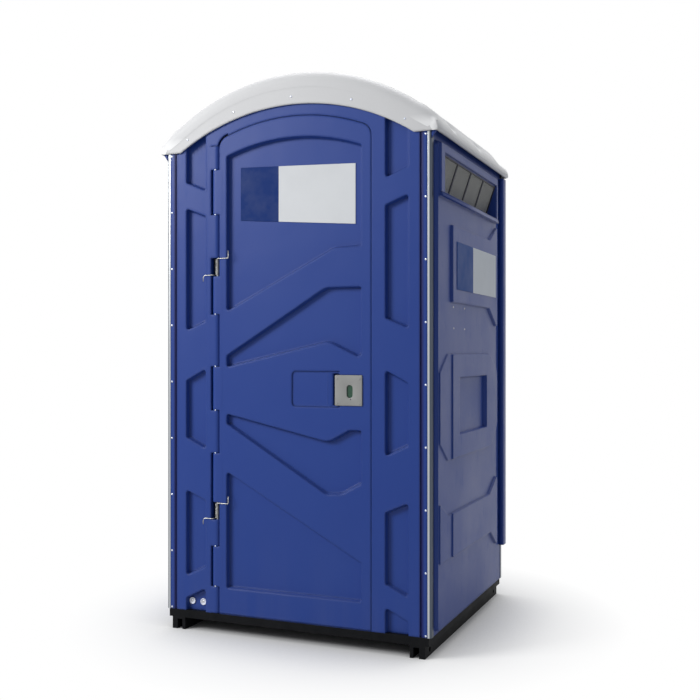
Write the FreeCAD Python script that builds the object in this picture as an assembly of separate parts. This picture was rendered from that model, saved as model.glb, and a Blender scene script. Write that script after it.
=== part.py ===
import FreeCAD, Part
import math
import os
from FreeCAD import Vector

os.makedirs("parts", exist_ok=True)

# Cabin body, millimetres. X runs left to right seen from the door, Y from front to back, Z up.
# The origin is on the ground, in the middle of the cabin.
half_width = 589.0          # outer face of the corner trims and side flanges
half_depth = 555.0          # outer face of the front and back frames
runner_height = 50.0
tray_height = 33.0
wall = 5.0                  # moulded sheet
fit = 0.3                   # gap between pieces that seat on each other
draft_angle = 15.0          # side walls of the moulded fields
field_depth = 20.0          # recessed fields of door and frame
field_radius = 9.0

# Roof
eave_overhang = 28.0
eave_half_width = half_width + eave_overhang
eave_height = 2020.0
eave_lip = 36.0             # upright lip round the eaves
front_overhang = 8.0
fascia_arch_radius = 950.0
fascia_arch_top = 2176.0
roof_rib_radius = 918.0     # outer radius over the raised ribs
roof_rib_rise = 28.0
roof_top = 2308.0
haunch_angle = 36.0         # where the round roof runs into its straight haunches
haunch_half_width = half_width - 3.0
haunch_radius = 60.0
rib_spans = [(-6.5, 175.0), (237.0, 562.0), (624.0, 925.0)]     # behind the front's outer face
rib_edges = [(y0 - half_depth, y1 - half_depth) for y0, y1 in rib_spans]
rib_edge = 14.0             # rounding at the ends of a rib
roof_edge = 42.0            # rounding of the roof over its front and back
roof_sheet = 6.2

# Front frame and doorway
frame_depth = 30.6
flange_width = 24.0
flange_thickness = 4.0
trim_nose = 14.0
trim_leg = 28.0
trim_proud = 1.5
trim_radius = 9.0
groove_width = 6.0
frame_rim = 36.0            # how far the frame reaches up behind the roof's fascia
hinge_column = 253.0        # from the cabin's left side to the door
latch_column = 245.5        # from the door to the cabin's right side
door_left = hinge_column - half_width
door_right = half_width - latch_column
column_inner = door_right + 58.5
column_outer = half_width - 91.0
door_bottom = 86.0
door_top = 2130.0
door_arch_radius = 844.0
door_arch_middle = 3.0
door_corner_radius = 50.0
door_gap = 2.0
door_depth = 25.5
liner_thickness = 4.0
stop_width = 14.0           # how far the inner frame overlaps the door
stop_thickness = 10.0

# Hinge
hinge_x = door_left - 20.0
knuckle_radius = 19.0
pin_radius = 5.0
pin_clearance = 0.05
relief = 9.0
door_knuckles = [(196.0, 364.0), (548.0, 754.0), (933.0, 1116.0), (1334.0, 1494.0), (1751.0, 1939.0)]
frame_knuckles = [(84.0, 196.0), (364.0, 475.0), (754.0, 933.0), (1116.0, 1334.0), (1570.0, 1751.0),
                  (1939.0, 2038.0)]
spring_notches = [(475.0, 548.0), (1494.0, 1570.0)]
knuckle_gap = 1.0

# Closer springs
spring_wire = 5.0
spring_coil_radius = 9.0    # to the middle of the wire
spring_turns = 3
wire_sides = 5
spring_end_gap = 3.0
door_arm = 61.0
frame_arm = 42.0
arm_hook = 24.0

# Latch
latch_right = door_right - 35.5
latch_left = latch_right - 117.0
latch_bottom = 957.0
latch_top = 1085.0
latch_thickness = 5.0
latch_z = 1020.0
window_x = latch_left + 63.5
window_width = 25.0
window_height = 51.0
bolt_travel = 28.0
bolt_height = 24.0
bolt_thickness = 10.0
case_right = latch_right + 16.0
case_depth = 30.0
case_wall = 3.0
crank_radius = 19.8
crank_pin_radius = 3.0
spindle_radius = 7.0

# Side panels: flange, bulge and raised fields step outwards from each other
bulge = 14.0
raise_height = 10.0
flank_rise = 5.0
side_top = 2010.0
vent_bottom = 1800.0
vent_top = 1955.0
vent_front = 105.0 - half_depth
vent_back = half_depth - 185.0
vent_deep = 60.0
vent_shallow = 8.0
vent_bays = 4
vent_bar = 14.0
grille_thickness = 4.0
screen_thickness = 1.2

# Inside
tank_side_gap = 23.0
tank_front = half_depth - 560.0
tank_top = 470.0
seat_y = half_depth - 320.0
seat_half_width = 185.0
seat_half_length = 215.0
bowl_half_width = 115.0
bowl_half_length = 145.0
seat_thickness = 20.0
lid_thickness = 14.0
vent_pipe_radius = 50.0
roll_radius = 55.0
roll_bore = 20.0
roll_length = 98.0
rod_radius = 11.0

floor_z = runner_height + tray_height
base_face = half_width + bulge
raised_face = base_face + raise_height
recess_face = raised_face - 18.0
front_y = -half_depth
back_y = half_depth
hinge_y = front_y + knuckle_radius
draft = math.tan(math.radians(draft_angle))
small_radius = 24.0         # a corner up to this size is cut in two flats
arch_radius = 400.0         # a larger one in flats of this turn, and from this size it is a true arc
flat_turn = 15.0
hidden_turn = 5.0           # an arch that shows from inside only is cut in flats of this turn


def box(x0, x1, y0, y1, z0, z1):
    return Part.makeBox(x1 - x0, y1 - y0, z1 - z0, Vector(x0, y0, z0))


def rod(radius, start, direction, length):
    return Part.makeCylinder(radius, length, Vector(*start), Vector(*direction))


def polyhedron(rings):
    """A solid of flat faces between rings of corners."""
    faces = [Part.Face(Part.makePolygon(ring + ring[:1])) for ring in (rings[0], rings[-1])]
    for first, last in zip(rings, rings[1:]):
        for i in range(len(first)):
            corners = [first[i - 1], first[i], last[i], last[i - 1]]
            faces.append(Part.Face(Part.makePolygon(corners + corners[:1])))
    solid = Part.makeSolid(Part.makeShell(faces))
    return solid if solid.Volume > 0 else solid.reversed()


def mitred_tube(points, radius, sides):
    """A many-sided tube along straight runs, mitred where they meet."""
    ways = [Vector(b - a).normalize() for a, b in zip(points, points[1:])]
    across = ways[0].cross(Vector(0.3, 0.9, 0.2)).normalize()
    upright = ways[0].cross(across)
    ring = []
    for i in range(sides):
        angle = 2 * math.pi * i / sides
        ring.append(points[0] + (across * math.cos(angle) + upright * math.sin(angle)) * radius)
    rings = [ring]
    for i, way in enumerate(ways):
        ahead = ways[i + 1] if i + 1 < len(ways) else way
        normal = way + ahead
        rings.append([p + way * ((points[i + 1] - p).dot(normal) / way.dot(normal)) for p in rings[-1]])
    return polyhedron(rings)


def prism(sides, radius, start, direction, length, end_radius):
    """A many-sided rod, tapered where its two radii differ."""
    turn = FreeCAD.Rotation(Vector(0, 0, 1), Vector(*direction))
    rings = []
    for level, size in ((0.0, radius), (length, end_radius)):
        corners = []
        for i in range(sides):
            angle = 2 * math.pi * (i + 0.5) / sides
            local = Vector(size * math.cos(angle), size * math.sin(angle), level)
            corners.append(Vector(*start) + turn.multVec(local))
        rings.append(corners)
    return polyhedron(rings)


def fused(shapes):
    whole = shapes[0]
    if len(shapes) > 1:
        whole = whole.fuse(shapes[1:])
    return whole.removeSplitter()


def save(name, shapes):
    solids = []
    for shape in shapes:
        solids.extend(shape.Solids)
    whole = solids[0] if len(solids) == 1 else Part.makeCompound(solids)
    whole.exportStep("parts/" + name + ".step")


def mirrored(shape):
    return shape.mirror(Vector(0, 0, 0), Vector(1, 0, 0))


def turned_ccw(points):
    area = 0.0
    for a, b in zip(points, points[1:] + points[:1]):
        area += a[0] * b[1] - b[0] * a[1]
    return points if area > 0 else points[::-1]


def with_radius(points, radius):
    return [p if len(p) == 3 else (p[0], p[1], radius) for p in points]


def inset(points, distance):
    """Moves every side of a counter-clockwise outline inwards; corners keep their centres."""
    result = []
    count = len(points)
    for i in range(count):
        u, v, radius = points[i]
        before = points[i - 1]
        after = points[(i + 1) % count]
        d1 = Vector(u - before[0], v - before[1], 0).normalize()
        d2 = Vector(after[0] - u, after[1] - v, 0).normalize()
        n1 = Vector(-d1.y, d1.x, 0)
        n2 = Vector(-d2.y, d2.x, 0)
        shift = (n1 + n2) * (distance / (1 + n1.dot(n2)))
        if radius > 0:
            radius = max(radius - math.copysign(distance, d1.cross(d2).z), 0.8)
        result.append((u + shift.x, v + shift.y, radius))
    return result


def corner_cuts(points, true_arcs):
    """How many flats each corner is cut in: none where sharp, and -1 for a true arc."""
    cuts = []
    for i, (u, v, radius) in enumerate(points):
        before = points[i - 1]
        after = points[(i + 1) % len(points)]
        turn = Vector(u - before[0], v - before[1], 0).getAngle(Vector(after[0] - u, after[1] - v, 0))
        if radius == 0:
            cuts.append(0)
        elif radius <= small_radius:
            cuts.append(2)
        elif radius < arch_radius:
            cuts.append(max(3, math.ceil(math.degrees(turn) / flat_turn)))
        else:
            cuts.append(-1 if true_arcs else math.ceil(math.degrees(turn) / hidden_turn))
    return cuts


def corner_runs(points, cuts):
    """The points along each corner: one, those of its flats, or an arc's three."""
    runs = []
    for i, (u, v, radius) in enumerate(points):
        corner = Vector(u, v, 0)
        if cuts[i] == 0:
            runs.append([corner])
            continue
        before = points[i - 1]
        after = points[(i + 1) % len(points)]
        back = Vector(before[0] - u, before[1] - v, 0).normalize()
        ahead = Vector(after[0] - u, after[1] - v, 0).normalize()
        half = back.getAngle(ahead) / 2
        reach = radius / math.tan(half)
        centre = corner + (back + ahead).normalize() * (radius / math.sin(half))
        start = corner + back * reach - centre
        finish = corner + ahead * reach - centre
        turn = start.getAngle(finish)
        steps = 2 if cuts[i] == -1 else cuts[i]
        run = []
        for step in range(steps + 1):
            t = step / steps
            blend = start * math.sin((1 - t) * turn) + finish * math.sin(t * turn)
            run.append(centre + blend * (1 / math.sin(turn)))
        runs.append(run)
    return runs


def rounded_wire(points, cuts, place):
    """A closed wire through the outline's sides and rounded corners."""
    runs = [[place(p.x, p.y) for p in run] for run in corner_runs(points, cuts)]
    edges = []
    for i, run in enumerate(runs):
        if cuts[i] == -1:
            edges.append(Part.Arc(*run).toShape())
        else:
            edges += [Part.makeLine(a, b) for a, b in zip(run, run[1:])]
        edges.append(Part.makeLine(run[-1], runs[(i + 1) % len(runs)][0]))
    return Part.Wire(edges)


def front_at(y):
    return lambda u, v: Vector(u, y, v)


def side_at(x):
    return lambda u, v: Vector(x, u, v)


def level_at(z):
    return lambda u, v: Vector(u, v, z)


def frustum(points, radius, place, start, end, end_inset, true_arcs=True):
    """A solid between an outline at one level and the same outline, drawn in, at another."""
    points = turned_ccw(with_radius(points, radius))
    cuts = corner_cuts(points, true_arcs)
    levels = [(points, place(start)), (inset(points, end_inset), place(end))]
    if -1 in cuts:
        return Part.makeLoft([rounded_wire(outline, cuts, at) for outline, at in levels], True, True)
    return polyhedron([[at(p.x, p.y) for run in corner_runs(outline, cuts) for p in run]
                       for outline, at in levels])


def grown(points, radius, distance):
    return inset(turned_ccw(with_radius(points, radius)), -distance)


# Moulded fields of the front, as outlines in X and Z

def column_fields():
    """Recessed fields of the right column; the left column mirrors them."""
    inner = column_inner
    outer = column_outer
    slope_bottom = 40.0
    fields = []
    fields.append([(inner, 2140), (outer, 2140), (outer, 1892), (inner, 1892 - slope_bottom)])
    fields.append([(inner, 1748), (outer, 1786), (outer, 1266), (inner, 1266 + slope_bottom)])
    fields.append([(inner, 1107), (outer, 1056), (outer, 814), (inner, 768)])
    fields.append([(inner, 552), (outer, 594), (outer, 228), (inner, 272)])
    fields.append([(inner, 184), (outer, 136), (outer, floor_z - 30), (inner, floor_z - 30)])
    return fields


field_left = door_left + 33.0
field_right = door_right - 40.5


def door_fields():
    arch_apex = door_top - 32.0
    shoulder = door_top - 138.0
    top = [(field_left, shoulder), (0, arch_apex, door_arch_radius + 16), (field_right, shoulder),
           (field_right, 1592), (field_right - 121, 1588, 60), (field_left, 1344)]
    upper = [(field_left, 1162), (field_right - 155, 1434, 60), (field_right, 1434),
             (field_right, 1170), (field_right - 16, 1156), (field_right - 143, 1216, 70),
             (field_left, 1112)]
    lower = [(field_left, 920), (field_right - 143, 818, 70), (field_right - 53, 868, 30),
             (field_right, 868), (field_right, 658), (field_right - 86, 610, 40),
             (field_right - 153, 606, 40), (field_left, 877)]
    bottom = [(field_left, 680), (field_right, 346), (field_right, 192), (field_left, 192)]
    return [top, upper, lower, bottom]


def recess(points):
    """A drafted pocket into the front."""
    points = turned_ccw(with_radius(points, field_radius))
    return frustum(points, field_radius, front_at, front_y, front_y + field_depth, field_depth * draft)


def large_corners(points):
    """The outline with its small corners left sharp."""
    return [(p[0], p[1], p[2] if len(p) == 3 and p[2] > small_radius else 0) for p in points]


def pocket_wall(points):
    """The solid behind a pocket, which leaves the sheet's thickness round it."""
    points = inset(turned_ccw(large_corners(points)), -wall)
    return frustum(points, 0, front_at, front_y, front_y + field_depth + wall, field_depth * draft)


def door_outline(margin):
    """The arched door, larger by the margin: a plain arch over straight sides."""
    left = door_left - margin
    right = door_right + margin
    top = door_top + margin
    radius = door_arch_radius + margin
    centre_z = top - radius
    half_angle = math.asin((right - door_arch_middle - 45.0) / radius)
    apex = centre_z + radius / math.cos(half_angle)
    shoulder = apex - (right - door_arch_middle) * math.tan(half_angle)
    corner = door_corner_radius + margin
    return [(left, door_bottom - margin, 0), (right, door_bottom - margin, 0),
            (right, shoulder, corner), (door_arch_middle, apex, radius), (left, shoulder, corner)]


def door_block(margin, y0, y1):
    return frustum(door_outline(margin), 0, front_at, y0, y1, 0.0)


def frame_block(half, drop, y0, y1):
    """The front or back frame under the roof's arch, or the same drawn in by the drop."""
    radius = fascia_arch_radius + frame_rim - drop
    centre_z = fascia_arch_top - fascia_arch_radius
    shoulder = eave_height + eave_lip - roof_sheet - fit - drop
    lower = box(-half, half, y0, y1, floor_z + drop, shoulder)
    crown = rod(radius, (0, y0, centre_z), (0, 1, 0), y1 - y0)
    return lower.fuse(crown.common(box(-half, half, y0, y1, shoulder - 80, roof_top)))


flange_outer = half_width - trim_nose
flange_inner = flange_outer - flange_width


def panel_block():
    """A closed front or back panel between its corner trims, hollow from inside."""
    main = flange_inner - groove_width
    inner_y = front_y + frame_depth
    body = frame_block(main, 0, front_y, inner_y)
    hollow = frame_block(main - wall, wall, front_y + wall, inner_y + 1)
    strip = frame_block(flange_outer, 0, front_y, front_y + 2 * flange_thickness)
    strip = strip.cut(box(-main + 1, main - 1, front_y - 1, inner_y, 0, roof_top))
    shell = fused([body.cut(hollow), strip])
    for side in (-1, 1):
        centre = side * (flange_inner - groove_width / 2)
        groove = box(centre - groove_width / 2, centre + groove_width / 2,
                     front_y - 1, front_y + flange_thickness, floor_z, roof_top)
        shell = shell.cut(groove)
    return shell


def knuckle(z0, z1, toward):
    """A hinge barrel with the web that ties it to the door (+1) or the frame (-1)."""
    barrel = rod(knuckle_radius, (hinge_x, hinge_y, z0), (0, 0, 1), z1 - z0)
    reach = knuckle_radius + 14.0
    ends = sorted((hinge_x, hinge_x + toward * reach))
    web = box(ends[0], ends[1], front_y, front_y + door_depth, z0, z1)
    return fused([barrel, web])


pin_top = frame_knuckles[-1][0] + 30.0


def flat_bore(sides, radius, start, direction, length):
    """A hole with flat sides, none nearer its middle than the radius."""
    corner = radius / math.cos(math.pi / sides)
    return prism(sides, corner, start, direction, length, corner)


def pin_hole():
    return flat_bore(12, pin_radius + pin_clearance, (hinge_x, hinge_y, floor_z - 1), (0, 0, 1),
                pin_top + 1 - floor_z)


def make_front_frame():
    back = front_y + frame_depth
    shell = panel_block()
    limits = panel_limits()
    fields = column_fields()
    every_field = fields + [[(-u, v) for u, v in field] for field in fields]
    bosses = [pocket_wall(field).common(limits) for field in every_field]
    jamb = door_block(door_gap + wall, front_y, back)
    shell = fused([shell, jamb.common(limits)] + bosses)
    shell = shell.cut(Part.makeCompound([recess(field) for field in every_field]))
    doorway = door_block(door_gap, front_y - 1, back + 1)
    shell = shell.cut(doorway)
    pocket_left = hinge_x - knuckle_radius - door_gap
    hinge_top = frame_knuckles[-1][1] + knuckle_gap
    post = box(pocket_left - wall, door_left, front_y, back, floor_z, hinge_top + wall)
    shell = fused([shell, post.cut(doorway)])
    shell = shell.cut(box(pocket_left, door_left, front_y - 1, back + 1, floor_z - 1, hinge_top))
    shell = shell.cut(swing_relief())
    barrels = [knuckle(z0, z1 - knuckle_gap, -1) for z0, z1 in frame_knuckles]
    shell = fused([shell] + barrels)
    return shell.cut(pin_hole())


def swing_relief():
    """Bevels the frame's front edge above the hinge, where the door's round corner swings past."""
    bevel = frustum(door_outline(door_gap + relief), 0, front_at, front_y, front_y + knuckle_radius, relief)
    corner = box(door_left - 40, door_left + 40, front_y - 1, front_y + knuckle_radius,
                 frame_knuckles[-1][1], door_top)
    return bevel.common(corner)


def panel_limits():
    main = flange_inner - groove_width
    return frame_block(main, 0, front_y, front_y + frame_depth)


def make_frame_liner():
    """The flat inner frame, which the closed door rests against."""
    y0 = front_y + frame_depth
    y1 = y0 + stop_thickness
    plate = frame_block(flange_inner - groove_width, 0, y0, y1)
    opening = door_block(-stop_width, y0 - 1, y1 + 1)
    hinge_side = hinge_x - knuckle_radius - 5.0
    sill = box(hinge_side, door_right - stop_width, y0 - 1, y1 + 1, floor_z - 1, door_bottom + 20)
    hinge_slot = box(hinge_side, door_left + stop_width + 20, y0 - 1, y1 + 1,
                     floor_z - 1, frame_knuckles[-1][1] + 20)
    return plate.cut(opening).cut(sill).cut(hinge_slot)


def finger_pull():
    """The hand pocket that runs in under the latch plate's edge."""
    shallow = [(latch_left - 192, 1100, 16), (latch_left - 192, 955, 16),
               (latch_left + 20, 955, 4), (latch_left + 20, 1100, 4)]
    slope = frustum(shallow, 10.0, front_at, front_y, front_y + 3.0, 1.0)
    return [slope, hand_pocket(0.0, 17.0)]


def hand_pocket(grow, depth):
    outline = [(latch_left - 28, 963), (latch_left + 20, 963), (latch_left + 20, 1092),
               (latch_left - 28, 1092)]
    return frustum(grown(outline, 10.0, grow), 10.0, front_at, front_y, front_y + depth, 3.0)


def window_pocket(margin, depth):
    half = window_width / 2 + 4 + margin
    return box(window_x - bolt_travel - half, window_x + bolt_travel + half,
               front_y, front_y + depth, latch_z - 32 - margin, latch_z + 32 + margin)


def make_door_skin():
    back = front_y + door_depth
    body = door_block(0.0, front_y, back)
    hollow = frustum(door_outline(-wall), 0, front_at, front_y + wall, back, 0.0)
    bosses = [pocket_wall(field).common(body) for field in door_fields()]
    bosses.append(hand_pocket(wall, 22.0))
    bosses.append(window_pocket(wall, door_depth))
    shell = fused([body.cut(hollow)] + bosses)
    cuts = [recess(field) for field in door_fields()] + finger_pull()
    shell = shell.cut(Part.makeCompound(cuts)).cut(window_pocket(0.0, door_depth - wall))
    shell = shell.cut(stem_slot(front_y, back + 1))
    barrels = [knuckle(z0, z1 - knuckle_gap, 1) for z0, z1 in door_knuckles]
    shell = fused([shell] + barrels)
    return shell.cut(pin_hole())


def stem_slot(y0, y1):
    return box(window_x - 10, window_x + bolt_travel + 10, y0, y1, latch_z - 9, latch_z + 9)


def make_door_liner():
    y0 = front_y + door_depth
    plate = door_block(0.0, y0, y0 + liner_thickness)
    plate = plate.cut(stem_slot(y0 - 1, y0 + liner_thickness + 1))
    beads = []
    for z in (380.0, 640.0, 1420.0, 1680.0):
        bead = [(field_left + 53, z - 30), (field_right - 53, z - 30),
                (field_right - 53, z + 30), (field_left + 53, z + 30)]
        beads.append(frustum(bead, 20.0, front_at, y0 + liner_thickness, y0 + liner_thickness + 4, 3.0))
    return fused([plate] + beads)


def biarc(p1, t1, p2, t2):
    """Two arcs, joined smoothly, from one point and direction to another."""
    v = p2 - p1
    t = t1 + t2
    flatness = 2 * (1 - t1.dot(t2))
    along = v.dot(t)
    if flatness < 1e-9:
        reach = v.dot(v) / (2 * along)
    else:
        reach = (math.sqrt(along ** 2 + flatness * v.dot(v)) - along) / flatness
    joint = (p1 + t1 * reach + p2 - t2 * reach) * 0.5
    return [arc_along(p1, t1, joint), arc_along(p2, t2 * -1, joint)]


def arc_along(start, direction, end):
    chord = end - start
    unit = Vector(chord).normalize()
    side = direction - unit * direction.dot(unit)
    angle = direction.getAngle(chord)
    middle = (start + end) * 0.5
    if side.Length > 1e-9:
        middle = middle + side.normalize() * (chord.Length / 2 * math.tan(angle / 2))
    return Part.Arc(start, middle, end).toShape()


def spring_path(z0, z1):
    """The coil round the hinge pin, with one arm on the frame and the other on the door."""
    radius = spring_coil_radius
    low = z0 + spring_end_gap + spring_wire / 2
    high = z1 - spring_end_gap - spring_wire / 2
    turns = spring_turns + 0.5
    pitch = (high - low) / turns
    slope = pitch / (2 * math.pi * radius)

    def at(turn):
        angle = 2 * math.pi * turn
        return Vector(hinge_x + radius * math.cos(angle), hinge_y + radius * math.sin(angle),
                      low + pitch * turn)

    def along(turn):
        angle = 2 * math.pi * turn
        return Vector(-math.sin(angle), math.cos(angle), slope).normalize()

    edges = []
    steps = int(turns * 2)
    for i in range(steps):
        edges.append(biarc(at(i / 2), along(i / 2), at((i + 1) / 2), along((i + 1) / 2)))
    coil = []
    for first, second in edges:
        coil += [first, second]
    face_y = front_y - spring_wire / 2 - fit
    bend = spring_wire * 1.2
    start = at(0)
    finish = at(turns)
    frame_points = [start, Vector(start.x, face_y, start.z), Vector(start.x - frame_arm - 9, face_y, start.z),
                    Vector(start.x - frame_arm - 13, face_y, start.z - arm_hook)]
    door_points = [finish, Vector(finish.x, face_y, finish.z), Vector(finish.x + door_arm, face_y, finish.z),
                   Vector(finish.x + door_arm, face_y, finish.z + arm_hook)]
    return arm_edges(frame_points, bend)[::-1] + coil + arm_edges(door_points, bend)


def arm_edges(points, bend):
    """Straight runs joined by tangent arcs."""
    edges = []
    here = points[0]
    for i in range(1, len(points) - 1):
        before = Vector(points[i - 1] - points[i]).normalize()
        after = Vector(points[i + 1] - points[i]).normalize()
        half = before.getAngle(after) / 2
        reach = bend / math.tan(half)
        a = points[i] + before * reach
        b = points[i] + after * reach
        middle = points[i] + (before + after).normalize() * (bend / math.sin(half) - bend)
        edges.append(Part.makeLine(here, a))
        edges.append(Part.Arc(a, middle, b).toShape())
        here = b
    edges.append(Part.makeLine(here, points[-1]))
    return edges


def make_spring(z0, z1):
    """One unbroken wire, drawn with flats, swept along the coil and its two arms."""
    path = Part.Wire(Part.__sortEdges__(spring_path(z0, z1)))
    edge = path.OrderedEdges[0]
    first = path.OrderedVertexes[0].Point
    start = edge.FirstParameter
    if (edge.valueAt(start) - first).Length > 0.01:
        start = edge.LastParameter
    direction = edge.tangentAt(start)
    across = direction.cross(Vector(0.3, 0.9, 0.2)).normalize()
    upright = direction.cross(across).normalize()
    corners = []
    for i in range(wire_sides):
        angle = 2 * math.pi * i / wire_sides
        corners.append(first + (across * math.cos(angle) + upright * math.sin(angle)) * (spring_wire / 2))
    profile = Part.makePolygon(corners + corners[:1])
    return path.makePipeShell([profile], True, False)


def print_least_gap(z0, z1):
    """The wire's least gap to itself, measured on points along the coil and its arms."""
    points = []
    travelled = [0.0]
    for edge in Part.Wire(Part.__sortEdges__(spring_path(z0, z1))).OrderedEdges:
        points += edge.discretize(12)[:-1]
    for a, b in zip(points, points[1:]):
        travelled.append(travelled[-1] + (b - a).Length)
    least = 1000.0
    for i, a in enumerate(points):
        for j in range(i + 1, len(points)):
            if travelled[j] - travelled[i] > 6 * spring_wire:
                least = min(least, (points[j] - a).Length)
    print("closer spring: least gap of the wire to itself %.2f mm" % (least - spring_wire))


def make_latch_plate():
    outline = [(latch_left, latch_bottom), (latch_right, latch_bottom),
               (latch_right, latch_top), (latch_left, latch_top)]
    plate = frustum(outline, 4.0, front_at, front_y, front_y - latch_thickness, 1.5)
    slot = window_hole(front_y + 1, front_y - latch_thickness - 1)
    return plate.cut(slot)


def window_hole(y0, y1):
    half = window_width / 2
    tall = window_height / 2
    outline = [(window_x - half, latch_z - tall), (window_x + half, latch_z - tall),
               (window_x + half, latch_z + tall), (window_x - half, latch_z + tall)]
    return frustum(outline, half - 0.1, front_at, y0, y1, 0.0)


case_y = front_y + door_depth + liner_thickness
bolt_y0 = case_y + 12.5


def make_indicator():
    half = window_width / 2 + 1
    y0 = front_y + fit
    flag = box(window_x - bolt_travel - half, window_x + half, y0, y0 + 2.5,
               latch_z - window_height / 2 - 2, latch_z + window_height / 2 + 2)
    stem = box(window_x - 5, window_x + 5, y0 + 2.5, bolt_y0, latch_z - 6, latch_z + 6)
    return fused([flag, stem])


def make_latch_case():
    outline = [(latch_left + 5, latch_z - 46), (case_right, latch_z - 46),
               (case_right, latch_z + 46), (latch_left + 5, latch_z + 46)]
    outer = frustum(outline, 8.0, front_at, case_y, case_y + case_depth, 1.5)
    inner = frustum(grown(outline, 8.0, -case_wall), 5.0, front_at,
                    case_y, case_y + case_depth - case_wall, 1.5)
    body = outer.cut(inner)
    body = body.cut(flat_bore(12, spindle_radius + fit, (spindle_x, case_y, latch_z), (0, 1, 0),
                              case_depth + 5))
    guide = box(case_right - 12, case_right + 5, bolt_y0 - fit, bolt_y0 + bolt_thickness + fit,
                latch_z - bolt_height / 2 - fit, latch_z + bolt_height / 2 + fit)
    return body.cut(guide)


spindle_x = window_x + bolt_travel / 2 + 2.0


def make_bolt():
    bar = box(latch_left + 15, case_right - 1, bolt_y0, bolt_y0 + bolt_thickness,
              latch_z - bolt_height / 2, latch_z + bolt_height / 2)
    upright = [e for e in bar.Edges if abs(e.BoundBox.XMin - (case_right - 1)) < 0.1
               and e.BoundBox.ZLength > 10 and e.BoundBox.XLength < 0.1]
    bar = bar.makeChamfer(2.5, upright)
    lifter = box(spindle_x - bolt_travel / 2 - 12, spindle_x - bolt_travel / 2 + 12,
                 bolt_y0, bolt_y0 + bolt_thickness, latch_z, latch_z + crank_radius + 12)
    slot_half = crank_pin_radius + 1.2
    slot = box(spindle_x - bolt_travel / 2 - slot_half, spindle_x - bolt_travel / 2 + slot_half,
               bolt_y0 + 3, bolt_y0 + bolt_thickness + 1, latch_z + 8, latch_z + crank_radius + 6)
    return fused([bar, lifter]).cut(slot)


def make_thumb_turn():
    wall_y = case_y + case_depth
    spindle = rod(spindle_radius, (spindle_x, bolt_y0 + bolt_thickness + 0.5, latch_z), (0, 1, 0),
                  wall_y + 8 - bolt_y0 - bolt_thickness - 0.5)
    hub = prism(12, 17.0, (spindle_x, wall_y + 0.5, latch_z), (0, 1, 0), 7, 15.0)
    lever = frustum([(spindle_x - 34, latch_z - 7), (spindle_x + 34, latch_z - 7),
                     (spindle_x + 34, latch_z + 7), (spindle_x - 34, latch_z + 7)],
                    6.0, front_at, wall_y + 6, wall_y + 20, 1.5)
    angle = math.radians(45)
    px = spindle_x - crank_radius * math.sin(angle)
    pz = latch_z + crank_radius * math.cos(angle)
    arm_y = bolt_y0 + bolt_thickness + 0.5
    arm = fused([prism(8, 6.0, (px, arm_y, pz), (0, 1, 0), 2.4, 6.0),
                 prism(8, 9.0, (spindle_x, arm_y, latch_z), (0, 1, 0), 2.4, 9.0),
                 crank_bar(px, pz, arm_y)])
    crank_pin = prism(8, crank_pin_radius, (px, bolt_y0 + 4, pz), (0, 1, 0), bolt_thickness - 3,
                      crank_pin_radius)
    return fused([spindle, hub, lever, arm, crank_pin])


def crank_bar(px, pz, y):
    bar = box(-4.0, 4.0, y, y + 2.4, 0.0, crank_radius)
    bar.rotate(Vector(0, y, 0), Vector(0, 1, 0), -45.0)
    bar.translate(Vector(spindle_x, 0, latch_z))
    return bar


def make_keeper():
    y0 = front_y + frame_depth + stop_thickness
    x0 = case_right + 12
    x1 = x0 + 34
    z0 = latch_z - bolt_height / 2 - 6
    z1 = latch_z + bolt_height / 2 + 6
    top_y = bolt_y0 + bolt_thickness + 1.5
    block = box(x0, x1, y0, top_y + 4, z0, z1)
    tunnel = box(x0 - 1, x1 - 4, bolt_y0 - 1.5, top_y, latch_z - bolt_height / 2 - 2,
                 latch_z + bolt_height / 2 + 2)
    foot = box(x0, x1, y0, y0 + 3, z0 - 18, z1 + 18)
    return fused([block, foot]).cut(tunnel)


def make_inner_pull():
    y0 = case_y
    grip = box(236, 262, y0 + 26, y0 + 36, 1150, 1290)
    feet = [box(236, 262, y0, y0 + 36, z, z + 22) for z in (1150, 1268)]
    whole = fused([grip] + feet)
    upright = [e for e in whole.Edges if abs(e.BoundBox.YMin - (y0 + 36)) < 0.1 and e.BoundBox.ZLength > 100]
    return whole.makeChamfer(4.0, upright)


# Side panels, as outlines in Y and Z

bulge_front = 40.0 - half_depth
bulge_back = half_depth - 155.0
field_front = 211.0 - half_depth
field_back = half_depth - 175.0
trim_front = bulge_front + 15.0


def bulge_outline():
    return [(bulge_front, floor_z + 12), (bulge_back, floor_z + 12), (bulge_back, side_top - 14),
            (bulge_front, side_top - 14)]


def side_fields():
    vent_frame = [(trim_front, 1778), (field_back + 12, 1778), (field_back + 12, 1990),
                  (trim_front, 1990)]
    sign_field = [(field_front, 1688), (field_back - 138, 1688, 12), (field_back, 1766, 12),
                  (field_back, 1286, 12), (field_back - 150, 1374, 20), (field_front, 1374)]
    pad = [(field_front, 1170), (field_back - 130, 1170, 50), (field_back, 1092, 60),
           (field_back, 830, 60), (field_back - 118, 744, 50), (field_front, 744)]
    low_field = [(field_front, 531), (field_back - 144, 531, 20), (field_back, 606, 12),
                 (field_back, 268, 12), (field_back - 124, 351, 20), (field_front, 351)]
    return [vent_frame, sign_field, pad, low_field]


def flank_fields():
    upper = [(trim_front, 1096), (field_front - 52, 1169), (field_front + 6, 1169),
             (field_front + 6, 745), (field_front - 52, 745), (trim_front, 818)]
    lower = [(trim_front, 590), (field_front - 42, 530), (field_front + 6, 530),
             (field_front + 6, 352), (trim_front, 352)]
    return [upper, lower]


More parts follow.
